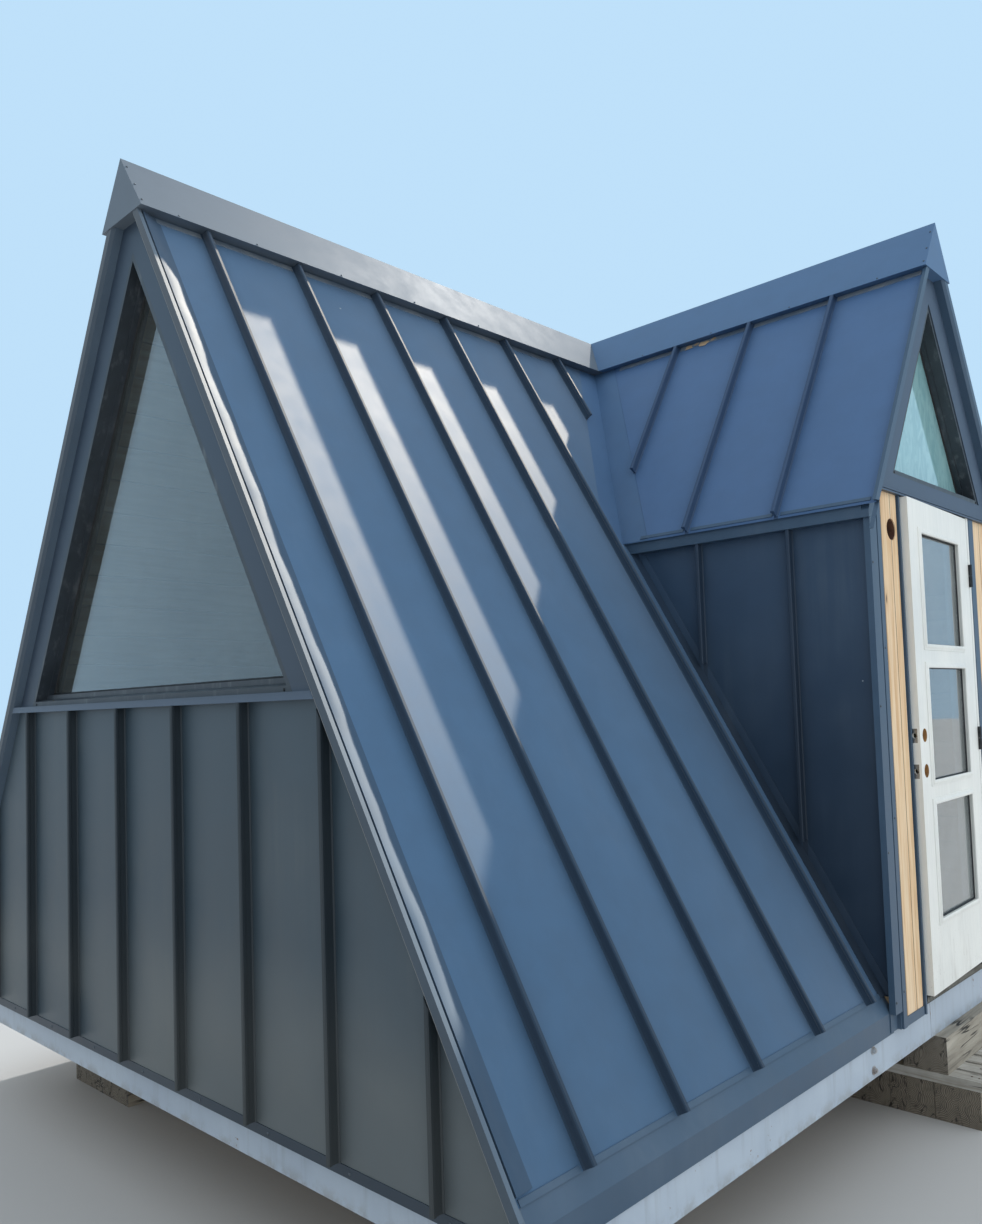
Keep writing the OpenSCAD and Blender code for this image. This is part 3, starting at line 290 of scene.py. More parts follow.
def sheetMaterial(name):
    look = sheetLooks[name]
    mat, spot = startMaterial(name, {"Sheen Weight": look["sheen"], "Sheen Roughness": 0.4,
                                     "Sheen Tint": (1.0, 0.93, 0.82, 1.0)})
    xyz = axes(spot)
    cloud = noise(spot, 1.7, 4.0, 0.55, 0.4)
    mottled = noise(spot, 9.0, 5.0, 0.6)
    runs = noise(scaled(spot, (22, 22, 1.1)), 1.0, 4.0, 0.6)
    colour = dimmed(look["paint"], band(mottled, 0.3, 0.7, 0.955, 1.045))
    # painted shade lower down and painted light higher up, set by the heights in each look
    colour = dimmed(colour, band(xyz[2], *look["heights"]))
    low = band(xyz[2], 0.40, 1.15, 0.75, 0.15)  # more dust towards the ground
    veil = times(band(cloud, 0.36, 0.72), plus(band(runs, 0.42, 0.70, 0.15, 0.65), low))
    colour = mixed(times(veil, look["dusty"], True), colour, look["dust"])
    # paler patches low on the gables: painted reflection of the bright ground, in the dust colour
    if look["groundGlow"] > 0.0:
        patches = band(noise(spot, 0.9, 2.0), 0.38, 0.62, 0.25, 1.0)
        groundGlow = times(band(xyz[2], 1.10, 0.66), patches)
        colour = mixed(times(groundGlow, look["groundGlow"]), colour, look["dust"])
    # the ribs, with a soft line of painted shade along their feet; on the right slope they stand evenly from both ends
    place = xyz[look["axis"]]
    if name == "roofMetal":
        right = above(xyz[0], 0.0)
        even = times(absolute(place), -1.0)
        place = put("ShaderNodeMix", {0: right, 2: place, 3: even}, data_type="FLOAT").outputs[0]
    place = minus(place, look["phase"])
    # painted shade beside each rib, where the ribs shade the pan
    if look["beside"] < 1.0:
        away = calc("PINGPONG", place, look["pitch"] / 2)
        colour = dimmed(colour, band(away, 0.010, 0.080, look["beside"], 1.0))
    satin = band(mottled, 0.3, 0.7, look["rough"] - 0.02, look["rough"] + 0.03)
    rough = plus(times(veil, 0.08), satin)
    # painted shade on the rib webs and heads, the faces across the axis; a factor above 1 is painted light on those
    # faces instead
    if look["rib"] != 1.0:
        rib = above(absolute(normals(mat)[look["axis"]]), 0.6)
        if look["beside"] < 1.0:
            rib = calc("MAXIMUM", rib, calc("LESS_THAN", away, 0.0092))
        colour = dimmed(colour, minus(1.0, times(rib, 1.0 - look["rib"])))
        rough = plus(rough, times(rib, 0.14))
    chips = calc("LESS_THAN", cellsOf(spot, 5.5)["Distance"], 0.022)
    rare = above(noise(spot, 2.6, 1.0), 0.60)
    colour = mixed(times(chips, times(rare, 0.7)), colour, (188, 194, 198))
    # each pan is bowed a little between its ribs, and the sheet ripples along its length
    bow = times(calc("COSINE", times(place, 2 * math.pi / look["pitch"])), -look["bow"])
    ripple = times(noise(spot, 2.3, 1.5, 0.4), look["ripple"])
    peel = times(noise(spot, 420, 2.0), 0.00003)
    return surface(mat, colour, rough, plus(plus(bow, ripple), peel))


# steel base: pale paint, rain dirt under the flashing, rust spots
steelLook = {"paint": (182, 195, 208), "dirt": (104, 104, 100), "rust": (122, 84, 58), "rough": 0.5}


def steelMaterial():
    mat, spot = startMaterial("baseSteel")
    xyz = axes(spot)
    cloud = noise(spot, 3.2, 6.0, 0.62, 0.5)
    colour = mixed(band(cloud, 0.32, 0.68), (170, 184, 199), steelLook["paint"])
    runs = noise(scaled(spot, (26, 26, 1.6)), 1.0, 5.0, 0.65)
    dirt = times(band(runs, 0.50, 0.74), band(xyz[2], 0.34, 0.50, 0.35, 0.85))
    splashes = band(noise(spot, 14, 5.0, 0.7), 0.42, 0.62)
    foot = times(band(xyz[2], 0.375, house["lift"]), splashes)
    colour = mixed(times(dirt, 0.34), colour, steelLook["dirt"])
    colour = mixed(times(foot, 0.38), colour, (126, 118, 104))
    spots = times(above(noise(spot, 38, 3.0, 0.7), 0.70), above(noise(spot, 3.0, 2.0), 0.55))
    colour = mixed(times(spots, 0.8), colour, steelLook["rust"])
    rough = band(cloud, 0.3, 0.7, steelLook["rough"] - 0.08, steelLook["rough"] + 0.12)
    dents = times(noise(spot, 6, 3.0), 0.0012)
    peel = times(noise(spot, 260, 3.0), 0.00010)
    return surface(mat, colour, rough, plus(dents, plus(peel, times(spots, 0.0004))))


# old timbers, bearers, boards and joists
woodLooks = {
    "sleeperTimber": {"dark": (96, 88, 78), "mid": (146, 137, 122), "pale": (178, 169, 153), "run": "Y", "wear": 0.3,
                      "rings": True},
    "bearerTimber": {"dark": (104, 96, 86), "mid": (152, 145, 132), "pale": (188, 182, 169), "run": "mixed",
                     "wear": 0.4, "rings": True},
    "boardTimber": {"dark": (122, 114, 102), "mid": (170, 166, 156), "pale": (206, 206, 204), "run": "X",
                    "wear": 0.5, "rings": False},
    "joistTimber": {"dark": (150, 124, 90), "mid": (190, 164, 126), "pale": (216, 194, 160), "run": "X",
                    "wear": 0.2, "rings": False},
}


def grainSpot(spot, run, across, along):
    if run == "X":
        return scaled(spot, (along, across, across))
    lengthways = scaled(spot, (across, along, across))
    if run == "Y":
        return lengthways
    # the bearers under the middle run across, those at the sides along the house
    far = above(absolute(axes(spot)[1]), 1.2)
    return put("ShaderNodeMix", {0: far, 4: lengthways, 5: scaled(spot, (along, across, across))},
               data_type="VECTOR").outputs[1]


def woodMaterial(name):
    look = woodLooks[name]
    mat, spot = startMaterial(name)
    run = look["run"]
    fibre = noise(grainSpot(spot, run, 26, 1.6), 1.0, 9.0, 0.68, 0.6)
    fine = noise(grainSpot(spot, run, 160, 5), 1.0, 6.0, 0.7)
    cloud = noise(spot, 5.0, 5.0, 0.6)
    colour = shades(fibre, [(0.30, look["dark"]), (0.50, look["mid"]), (0.72, look["pale"])])
    colour = mixed(band(fine, 0.35, 0.65, 0.0, 0.35), colour, look["pale"])
    colour = mixed(times(band(cloud, 0.50, 0.74), look["wear"]), colour, look["dark"])
    split = noise(grainSpot(spot, run, 9, 0.55), 1.0, 4.0, 0.55, 0.3)
    crack = band(absolute(minus(split, 0.5)), 0.012, 0.004)
    crack = times(crack, band(noise(spot, 3.3, 2.0), 0.45, 0.60))
    height = plus(times(fibre, 0.0022), times(fine, 0.0010))
    height = minus(height, times(crack, 0.004))
    if look["rings"]:
        # end grain: rings round a heart in each timber, with radial splits
        ends = above(absolute(normals(mat)[1]), 0.8)
        xyz = axes(spot)
        wobble = noise(spot, 6.0, 3.0)
        dx = minus(calc("PINGPONG", plus(xyz[0], 0.021), 0.0885), 0.052)
        dz = minus(calc("PINGPONG", xyz[2], 0.0915), 0.066)
        away = calc("SQRT", plus(times(dx, dx), times(dz, dz)))
        away = plus(away, times(wobble, 0.012))
        ring = calc("SINE", times(away, 2 * math.pi / 0.0062))
        ringDark = tuple(v * 0.9 for v in look["dark"])
        ringTone = mixed(band(ring, -0.8, 0.9), ringDark, look["mid"])
        worn = band(noise(spot, 30, 5.0, 0.7), 0.44, 0.70, 0.0, 0.45)
        ringTone = mixed(worn, ringTone, tuple(v * 0.7 for v in look["dark"]))
        radial = noise(scaled(spot, (16, 1, 5)), 1.0, 3.0, 0.5, 1.4)
        check = band(absolute(minus(radial, 0.5)), 0.012, 0.003)
        ringTone = mixed(times(check, 0.85), ringTone, (20, 18, 17))
        colour = mixed(ends, colour, ringTone)
        height = plus(height, times(times(ring, ends), 0.0004))
    colour = mixed(times(crack, 0.9), colour, (24, 21, 19))
    return surface(mat, colour, band(fine, 0.3, 0.7, 0.74, 0.92), height)


# pine boards: the cladding beside the door, and the lining inside
pineLooks = {
    "pineCladding": {"pale": (247, 224, 190), "mid": (236, 204, 162), "dark": (202, 158, 114), "board": 0.095,
                     "phase": -0.619, "axis": 1, "line": 0.0022, "grain": (1.0, 1.0, 0.055), "fibre": (1.0, 1.0, 0.02),
                     "knot": (1, 1, 0.34)},
    # the lining's tones are darker than the cladding's: painted shade for the inside of the house
    "pineLining": {"pale": (214, 190, 156), "mid": (196, 166, 126), "dark": (168, 132, 92), "board": 0.120,
                   "phase": 0.488, "axis": 2, "line": 0.0020, "grain": (0.06, 0.06, 1.0), "fibre": (0.02, 0.02, 1.0),
                   "knot": (0.34, 0.34, 1)},
}


def pineMaterial(name):
    look = pineLooks[name]
    mat, spot = startMaterial(name)
    xyz = axes(spot)
    place = calc("DIVIDE", minus(xyz[look["axis"]], look["phase"]), look["board"])
    number = calc("FLOOR", place)
    local = absolute(minus(minus(place, number), 0.5))
    line = look["line"] / look["board"]
    joint = band(local, 0.5 - line * 1.3, 0.5 - line * 0.5)
    shift = put("ShaderNodeCombineXYZ", {i: times(number, by) for i, by in enumerate((3.7, 1.9, 0.77))}).outputs[0]
    own = put("ShaderNodeVectorMath", {0: spot, 1: shift}, operation="ADD").outputs[0]
    grain = noise(scaled(own, look["grain"]), 30.0, 4.0, 0.55, 1.1)
    fibre = noise(scaled(own, look["fibre"]), 260.0, 4.0, 0.65)
    colour = shades(grain, [(0.28, look["dark"]), (0.46, look["mid"]), (0.62, look["pale"]), (0.80, look["mid"])])
    colour = mixed(band(fibre, 0.36, 0.64, 0.0, 0.30), colour, look["dark"])
    board = put("ShaderNodeTexWhiteNoise", {"W": number}, noise_dimensions="1D").outputs["Value"]
    colour = mixed(times(board, 0.18), colour, look["dark"])
    knots = cellsOf(scaled(own, look["knot"]), 8.5)
    rare = above(redOf(knots["Color"]), 0.48)
    heart = times(band(knots["Distance"], 0.085, 0.030), rare)
    halo = times(band(knots["Distance"], 0.24, 0.06), rare)
    colour = mixed(times(halo, 0.45), colour, look["dark"])
    colour = mixed(times(heart, 0.9), colour, (86, 64, 46))
    grime = noise(scaled(spot, (8, 8, 1.4)), 1.0, 4.0, 0.6)
    colour = mixed(times(band(grime, 0.50, 0.74), 0.16), colour, (160, 150, 134))
    colour = mixed(times(joint, 0.85), colour, (70, 52, 36))
    height = minus(times(fibre, 0.0003), times(joint, 0.003))
    height = plus(height, times(heart, 0.0004))
    return surface(mat, colour, band(fibre, 0.3, 0.7, 0.56, 0.74), height)


# floor board, seen from below and from inside
def chipboardMaterial():
    mat, spot = startMaterial("floorBoard")
    flakes = cellsOf(scaled(spot, (1, 0.45, 1)), 46)
    colour = shades(redOf(flakes["Color"]), [(0.0, (150, 120, 82)), (0.5, (190, 160, 116)), (1.0, (214, 190, 148))])
    colour = mixed(band(noise(spot, 3.0, 4.0), 0.45, 0.75, 0.0, 0.4), colour, (120, 104, 84))
    return surface(mat, colour, 0.8, times(flakes["Distance"], 0.0012))


# white door paint, dirtier towards the foot
doorLook = {"paint": (240, 241, 236), "shade": (230, 232, 228), "dirt": (150, 142, 128), "rough": 0.42}


def doorMaterial():
    mat, spot = startMaterial("doorPaint")
    xyz = axes(spot)
    grain = noise(scaled(spot, (1, 1, 0.05)), 75.0, 5.0, 0.6, 0.8)
    cloud = noise(spot, 2.4, 4.0, 0.6)
    colour = mixed(band(cloud, 0.3, 0.7), doorLook["shade"], doorLook["paint"])
    colour = mixed(band(grain, 0.40, 0.66, 0.10, 0.0), colour, (170, 172, 168))
    smear = noise(scaled(spot, (9, 9, 2.2)), 1.0, 6.0, 0.7)
    foot = band(xyz[2], 0.95, 0.53)
    specks = above(noise(spot, 120, 2.0, 0.6), 0.70)
    for marks, share in ((band(smear, 0.5, 0.75), 0.35), (specks, 0.5)):
        dirt = times(times(marks, foot), share)
        colour = mixed(dirt, colour, doorLook["dirt"])
    rough = band(cloud, 0.3, 0.7, doorLook["rough"] - 0.06, doorLook["rough"] + 0.08)
    return surface(mat, colour, rough, times(grain, 0.0004))


# dark metal of the window frames
def frameMaterial():
    mat, spot = startMaterial("windowFrame")
    cloud = noise(spot, 7.0, 5.0, 0.6)
    runs = noise(scaled(spot, (30, 30, 2.0)), 1.0, 4.0, 0.6)
    colour = mixed(band(cloud, 0.32, 0.68), (46, 53, 60), (58, 66, 74))
    colour = mixed(band(runs, 0.52, 0.76, 0.0, 0.30), colour, (132, 138, 142))
    peel = times(noise(spot, 500, 2.0), 0.00006)
    return surface(mat, colour, band(cloud, 0.3, 0.7, 0.36, 0.50), peel)


glassLooks = {
    "windowGlass": {"clear": (190, 204, 206), "film": (128, 138, 142), "cover": 0.07},
    "doorGlass": {"clear": (190, 200, 202), "film": (158, 164, 166), "cover": 0.20},
}


def glassMaterial(name):
    # sealed glass with a thin coat of dust, a touch wavy; the dormer pane still has its pale film on
    look = glassLooks[name]
    mat, spot = startMaterial(name, {"IOR": 1.52, "Specular IOR Level": 0.6, "Coat Weight": 0.6,
                                     "Coat Roughness": 0.02})
    cloud = noise(spot, 3.6, 5.0, 0.6, 0.6)
    runs = noise(scaled(spot, (20, 20, 1.5)), 1.0, 4.0, 0.6)
    veil = plus(band(cloud, 0.3, 0.75, look["cover"] * 0.6, look["cover"] * 1.3),
                band(runs, 0.5, 0.8, 0.0, look["cover"] * 0.5))
    colour = mixed(veil, look["clear"], look["film"])
    if name == "windowGlass":
        dormer = above(axes(spot)[0], 1.6)
        crease = noise(scaled(spot, (1, 5, 2), (0.6, 0, 0)), 4.0, 3.0, 0.5, 1.5)
        filmTone = mixed(band(crease, 0.35, 0.65), (158, 210, 216), (180, 228, 232))
        colour = mixed(dormer, colour, filmTone)
        veil = plus(veil, times(dormer, 0.60), True)
    feed(shaderOf(mat), {"Transmission Weight": minus(1.0, veil, True)})
    wave = times(noise(spot, 3.0, 1.0), 0.0012)
    return surface(mat, colour, band(cloud, 0.3, 0.75, 0.015, 0.07), wave)


# hinges, plates, screws, seals, scraps and linings
fittingLooks = {
    "blackHinge": {"base": (34, 36, 39), "worn": (74, 76, 78), "metal": 0.6, "rough": 0.42, "grain": 220},
    "lockSteel": {"base": (150, 152, 154), "worn": (104, 98, 88), "metal": 0.9, "rough": 0.34, "grain": 160},
    "sillMetal": {"base": (128, 132, 136), "worn": (80, 80, 78), "metal": 0.7, "rough": 0.46, "grain": 90},
    "screwHead": {"base": (92, 98, 104), "worn": (46, 48, 52), "metal": 0.5, "rough": 0.40, "grain": 400},
    "boltZinc": {"base": (178, 182, 186), "worn": (140, 120, 104), "metal": 0.35, "rough": 0.46, "grain": 240},
    "gasket": {"base": (20, 21, 23), "worn": (44, 45, 47), "metal": 0.0, "rough": 0.62, "grain": 90},
    "stripDark": {"base": (44, 44, 42), "worn": (84, 80, 72), "metal": 0.0, "rough": 0.70, "grain": 120},
    "stripPale": {"base": (134, 132, 124), "worn": (92, 88, 80), "metal": 0.1, "rough": 0.60, "grain": 120},
    "closureMetal": {"base": (112, 128, 144), "worn": (150, 156, 160), "metal": 0.2, "rough": 0.40, "grain": 60},
    "nailRust": {"base": (92, 66, 50), "worn": (58, 50, 46), "metal": 0.4, "rough": 0.66, "grain": 300},
    "scrapPaper": {"base": (196, 170, 136), "worn": (150, 124, 96), "metal": 0.0, "rough": 0.86, "grain": 140},
    "holeLining": {"base": (74, 44, 38), "worn": (120, 86, 62), "metal": 0.0, "rough": 0.85, "grain": 130},
    "boreWood": {"base": (176, 130, 80), "worn": (112, 78, 48), "metal": 0.0, "rough": 0.80, "grain": 150},
    "weldPaint": {"base": (168, 178, 192), "worn": (128, 104, 84), "metal": 0.0, "rough": 0.50, "grain": 160},
}


def fittingMaterial(name):
    look = fittingLooks[name]
    mat, spot = startMaterial(name, {"Metallic": look["metal"]})
    speck = noise(spot, look["grain"], 4.0, 0.65)
    cloud = noise(spot, look["grain"] / 9.0, 3.0, 0.55)
    colour = mixed(band(cloud, 0.42, 0.72, 0.0, 0.8), look["base"], look["worn"])
    colour = mixed(band(speck, 0.52, 0.70, 0.0, 0.35), colour, look["worn"])
    rough = band(speck, 0.3, 0.7, look["rough"] - 0.06, look["rough"] + 0.10)
    return surface(mat, colour, rough, times(speck, 0.00012))


materials = {}
for make, looks in ((sheetMaterial, sheetLooks), (woodMaterial, woodLooks), (pineMaterial, pineLooks),
                    (glassMaterial, glassLooks), (fittingMaterial, fittingLooks)):
    materials.update({name: make(name) for name in looks})
materials["baseSteel"] = steelMaterial()
materials["floorBoard"] = chipboardMaterial()
materials["doorPaint"] = doorMaterial()
materials["windowFrame"] = frameMaterial()
print("materials made")

# the nodes that each finish is on
finishes = {
    "roofMetal": ["roof_pans_left", "roof_pans_right"],
    "dormerMetal": ["dormer_roof_pans"],
    "foldMetal": ["dormer_ridge_cap", "valley_flashings"],
    "capMetal": ["main_ridge_cap"],
    "wallMetal": ["gable_pans"],
    "sideMetal": ["dormer_side_pans", "wall_aprons"],
    "rakeMetal": ["rake_trims"],
    "bandMetal": ["window_bands"],
    "footMetal": ["base_flashings"],
    "trimMetal": ["eave_trims", "dormer_rake_trims", "dormer_fascias", "corner_trims"],
    "windowFrame": ["window_frame_front", "window_frame_rear", "window_frame_dormer"],
    "windowGlass": ["window_glass"],
    "doorGlass": ["door_glass"],
    "sleeperTimber": ["crib_sleepers"],
    "bearerTimber": ["crib_bearers"],
    "boardTimber": ["crib_boards"],
    "joistTimber": ["base_joists"],
    "baseSteel": ["base_side_rails", "base_end_rails"],
    "floorBoard": ["floor_deck"],
    "pineLining": ["roof_slab_left", "roof_slab_right", "valley_slab_front", "valley_slab_rear", "dormer_slab_front",
                   "dormer_slab_rear", "gable_wall_front", "gable_wall_rear", "dormer_side_walls", "door_wall_left",
                   "door_wall_right", "door_wall_header"],
    "pineCladding": ["timber_cladding"],
    "doorPaint": ["door_leaf", "door_jambs", "door_head", "door_mouldings"],
    "sillMetal": ["threshold"],
    "lockSteel": ["door_lock_plates"],
    "blackHinge": ["hinge_frame_halves", "hinge_door_halves"],
}


def dressNodes():
    for finish, nodes in finishes.items():
        for name in nodes:
            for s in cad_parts[name].material_slots:
                s.material = materials[finish]


dressNodes()
print("nodes dressed")


# small pieces that repeat, set out by Geometry Nodes
repeatForms = {
    "dome": ("UVSphere", {"Segments": 12, "Rings": 6, "Radius": 0.5}),
    "hex": ("Cylinder", {"Vertices": 6, "Radius": 0.5, "Depth": 1.0}),
    "disc": ("Cylinder", {"Vertices": 20, "Radius": 0.5, "Depth": 1.0}),
    "bar": ("Cube", {"Size": (1, 1, 1)}),
}


def repeatTree(shape):
    tree = bpy.data.node_groups.new("repeat" + shape.capitalize(), "GeometryNodeTree")
    face = tree.interface
    face.new_socket("Geometry", in_out="INPUT", socket_type="NodeSocketGeometry")
    face.new_socket("Size", in_out="INPUT", socket_type="NodeSocketFloat").default_value = 1.0
    face.new_socket("Finish", in_out="INPUT", socket_type="NodeSocketMaterial")
    face.new_socket("Geometry", in_out="OUTPUT", socket_type="NodeSocketGeometry")
    start = tree.nodes.new("NodeGroupInput")
    end = tree.nodes.new("NodeGroupOutput")
    kind, values = repeatForms[shape]
    form = put("GeometryNodeMesh" + kind, values, tree).outputs["Mesh"]
    turn, sides = (put("GeometryNodeInputNamedAttribute", {"Name": name}, tree, data_type=data).outputs["Attribute"]
                   for name, data in (("turn", "QUATERNION"), ("size", "FLOAT_VECTOR")))
    grown = put("ShaderNodeVectorMath", {0: sides, "Scale": start.outputs["Size"]}, operation="SCALE").outputs[0]
    spread = put("GeometryNodeInstanceOnPoints", {"Points": start.outputs["Geometry"], "Instance": form,
                                                  "Rotation": turn, "Scale": grown})
    real = put("GeometryNodeRealizeInstances", {"Geometry": spread.outputs["Instances"]})
    smooth = put("GeometryNodeSetShadeSmooth", {"Geometry": real.outputs["Geometry"], "Shade Smooth": shape == "dome"})
    done = put("GeometryNodeSetMaterial", {"Geometry": smooth.outputs["Geometry"], "Material": start.outputs["Finish"]})
    feed(end, {"Geometry": done.outputs["Geometry"]})
    return tree


repeatTrees = {shape: repeatTree(shape) for shape in repeatForms}


def repeated(name, shape, spots, finish, body):
    # spots: (place, turn as a quaternion, size along x, y, z)
    tree = repeatTrees[shape]
    points = bpy.data.meshes.new(name + "Points")
    points.from_pydata([s[0] for s in spots], [], [])
    points.attributes.new("turn", "QUATERNION", "POINT")
    points.attributes.new("size", "FLOAT_VECTOR", "POINT")
    turns, sizes = points.attributes["turn"].data, points.attributes["size"].data  # fetched once both exist
    for i, s in enumerate(spots):
        turns[i].value = tuple(s[1])
        sizes[i].vector = s[2]
    draft = bpy.data.objects.new(name + "Draft", points)
    bpy.context.scene.collection.objects.link(draft)
    mod = draft.modifiers.new("repeat", "NODES")
    mod.node_group = tree
    keys = {s.name: s.identifier for s in tree.interface.items_tree if s.in_out == "INPUT"}
    mod[keys["Size"]] = 1.0
    mod[keys["Finish"]] = materials[finish]
    graph = bpy.context.evaluated_depsgraph_get()
    mesh = bpy.data.meshes.new_from_object(draft.evaluated_get(graph))
    draft.modifiers.remove(mod)
    bpy.data.objects.remove(draft)
    for spare in ("turn", "size"):
        if spare in mesh.attributes:
            mesh.attributes.remove(mesh.attributes[spare])
    return finished(name, mesh, finish, body)


def finished(name, mesh, finish, body):
    if not mesh.materials:
        mesh.materials.append(materials[finish])
    mesh.name = name
    piece = bpy.data.objects.new(name, mesh)
    bpy.context.scene.collection.objects.link(piece)
    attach(piece, body)
    return piece


def shell(name, verts, faces, finish, body, smoothAngle=None):
    # a mesh from points and faces, its faces turned outwards
    mesh = bpy.data.meshes.new(name)
    mesh.from_pydata([tuple(v) for v in verts], [], faces)
    bm = bmesh.new()
    bm.from_mesh(mesh)
    bmesh.ops.remove_doubles(bm, verts=bm.verts, dist=1e-6)
    bmesh.ops.recalc_face_normals(bm, faces=bm.faces)
    bm.to_mesh(mesh)
    bm.free()
    if smoothAngle is not None:
        for p in mesh.polygons:
            p.use_smooth = True
        mesh.set_sharp_from_angle(angle=math.radians(smoothAngle))
    return finished(name, mesh, finish, body)


def addRing(verts, faces, loops):
    # loops of equally many points, each a closed ring; the last joins the first
    start = len(verts)
    n = len(loops[0])
    for loop in loops:
        verts.extend(loop)
    for a in range(len(loops)):
        b = (a + 1) % len(loops)
        for i in range(n):
            j = (i + 1) % n
            faces.append((start + a * n + i, start + a * n + j, start + b * n + j, start + b * n + i))


# ridge caps: blind rivets near the ends and along the lower edge
capRivets = {"head": 0.0085, "proud": 0.0032, "endInset": 0.012, "endHeights": (3.361, 3.272, 3.196), "edgeUp": 0.009,
             "dormerEnds": (3.352, 3.262, 3.192), "dormerEdge": (0.44, 0.85, 1.267, 1.68)}


def makeCapRivets():
    v = capRivets
    spots = []
    size = (v["head"], v["head"], 2 * v["proud"])
    ys = house["seams"]
    mids = [(-house["rakeLine"] + ys[0]) / 2] + [(a + b) / 2 for a, b in zip(ys, ys[1:])]
    for side in (1, -1):
        turn = facing((0, 1, 0), (side, 0, capSlope()))
        for end in (1, -1):
            for z in v["endHeights"]:
                spots.append((capSpot(end * (house["capEnd"] - v["endInset"]), z, side), turn, size))
            for y in mids:
                spots.append((capSpot(end * y, house["capEdge"] + v["edgeUp"], side), turn, size))
        turn = facing((1, 0, 0), (0, side, capSlope(True)))
        for z in v["dormerEnds"]:
            spots.append((capSpot(house["dormerCapEnd"] - v["endInset"], z, side, True), turn, size))
        for x in v["dormerEdge"]:
            spots.append((capSpot(x, house["capEdge"] + v["edgeUp"], side, True), turn, size))
    repeated("capRivets", "dome", spots, "screwHead", "house")


def betweenSeams(v, z, dormerZ, dormerMarks):
    # flat strips between the seams, at one height on both long slopes and at another on both sides of the dormer
    spots = []
    half, out = house["seamHalf"] + v["gap"], v["thick"] / 2
    first, end, k = house["seams"][0], house["halfLength"] - v["inset"], house["roofK"]

    def lay(marks, along, normal, placesOf):
        turn = facing(along, normal)
        for a, b in zip(marks, marks[1:]):
            a, b = a + half, b - half
            for place in placesOf((a + b) / 2):
                spots.append((place, turn, (b - a, v["tall"], v["thick"])))
    cut = [-end, *house["seams"], v["valley"]]
    lay(cut, (0, 1, 0), (1, 0, k), lambda y: [roofSpot(y, z, out), roofSpot(-y, z, out)])
    whole = [first + i * house["seamPitch"] for i in range(house["leftSeams"])]
    lay([-end, *whole, end], (0, 1, 0), (-1, 0, k), lambda y: [roofSpot(y, z, out, -1)])
    for side in (1, -1):
        lay(dormerMarks, (1, 0, 0), (0, side, house["dormerK"]), lambda x: [dormerSpot(x, dormerZ, out, side)])
    return spots


# closures under the edges of the caps
capClosures = {"tall": 0.026, "thick": 0.0022, "gap": 0.006, "below": 0.004, "inset": 0.012, "valley": -0.52,
               "dormer": (0.26, 1.872)}


def makeCapClosures():
    v = capClosures
    z = house["capEdge"] - v["below"] - v["tall"] / 2
    marks = [v["dormer"][0], *house["dormerSeams"], v["dormer"][1]]
    repeated("capClosures", "bar", betweenSeams(v, z, z, marks), "closureMetal", "house")


# the folded-over foot of each pan
panHems = {"tall": 0.016, "thick": 0.0032, "gap": 0.010, "inset": 0.010, "valley": -0.716, "dormer": (0.80, 1.874),
           "dormerUp": 0.010}


def makePanHems():
    v = panHems
    z = house["panFoot"] + v["tall"] * 0.5 / math.hypot(1, house["roofK"])
    low, high = v["dormer"]
    marks = [low, *(x for x in house["dormerSeams"] if x > low), high]
    spots = betweenSeams(v, z, house["dormerEave"] + v["dormerUp"], marks)
    repeated("panHems", "bar", spots, "trimMetal", "house")


# the end pans curve up to the lip of the rakes in an uneven cove
rakeCoves = {"lip": 2.739, "heights": (0.268, 3.164), "steps": 72, "wave": 0.0020, "width": 0.070,
             "swings": ((9.5, 1.0), (21.0, 0.6), (47.0, 0.3)),
             "section": ((0.0, 0.0185), (0.012, 0.0168), (0.025, 0.0130), (0.040, 0.0080), (0.055, 0.0036),
                         (0.070, 0.0005), (0.070, -0.001), (0.0, -0.001))}


def makeRakeCoves():
    v = rakeCoves
    verts, faces = [], []
    rng = random.Random(7)
    low, high = v["heights"]
    n = len(v["section"])
    for end in (1, -1):
        for side in (1, -1):
            first = len(verts)
            swings = [(rate, rng.uniform(0, 2 * math.pi), part) for rate, part in v["swings"]]
            for i in range(v["steps"] + 1):
                z = low + (high - low) * i / v["steps"]
                sway = v["wave"] * sum(part * math.sin(rate * z + phase) for rate, phase, part in swings)
                for away, out in v["section"]:
                    swell = sway * math.sin(math.pi * away / v["width"]) if out > 0 else 0.0
                    verts.append(roofSpot(end * (v["lip"] - away), z, out + swell, side))
            for i in range(v["steps"]):
                a = first + i * n
                for k in range(n):
                    m = (k + 1) % n
                    faces.append((a + k, a + m, a + n + m, a + n + k))
            faces.append(tuple(first + k for k in range(n)))
            faces.append(tuple(first + v["steps"] * n + k for k in reversed(range(n))))
    shell("rakeCoves", verts, faces, "coveMetal", "house", 40)


# screws in the trims, black drain caps in the window frames
trimScrews = {"head": 0.010, "proud": 0.003, "corner": (0.733, (0.235, 0.78, 1.32, 1.86, 2.132)),
              "channel": (0.659, (0.26, 0.9, 1.54, 2.1)),
              "foot": {"first": -1.55, "pitch": 0.3875, "count": 9, "face": 2.7195, "z": 0.134}}
drainCaps = {"head": 0.011, "proud": 0.0022, "gable": (0.905, 2.720, 1.434), "dormer": (0.478, 2.240)}


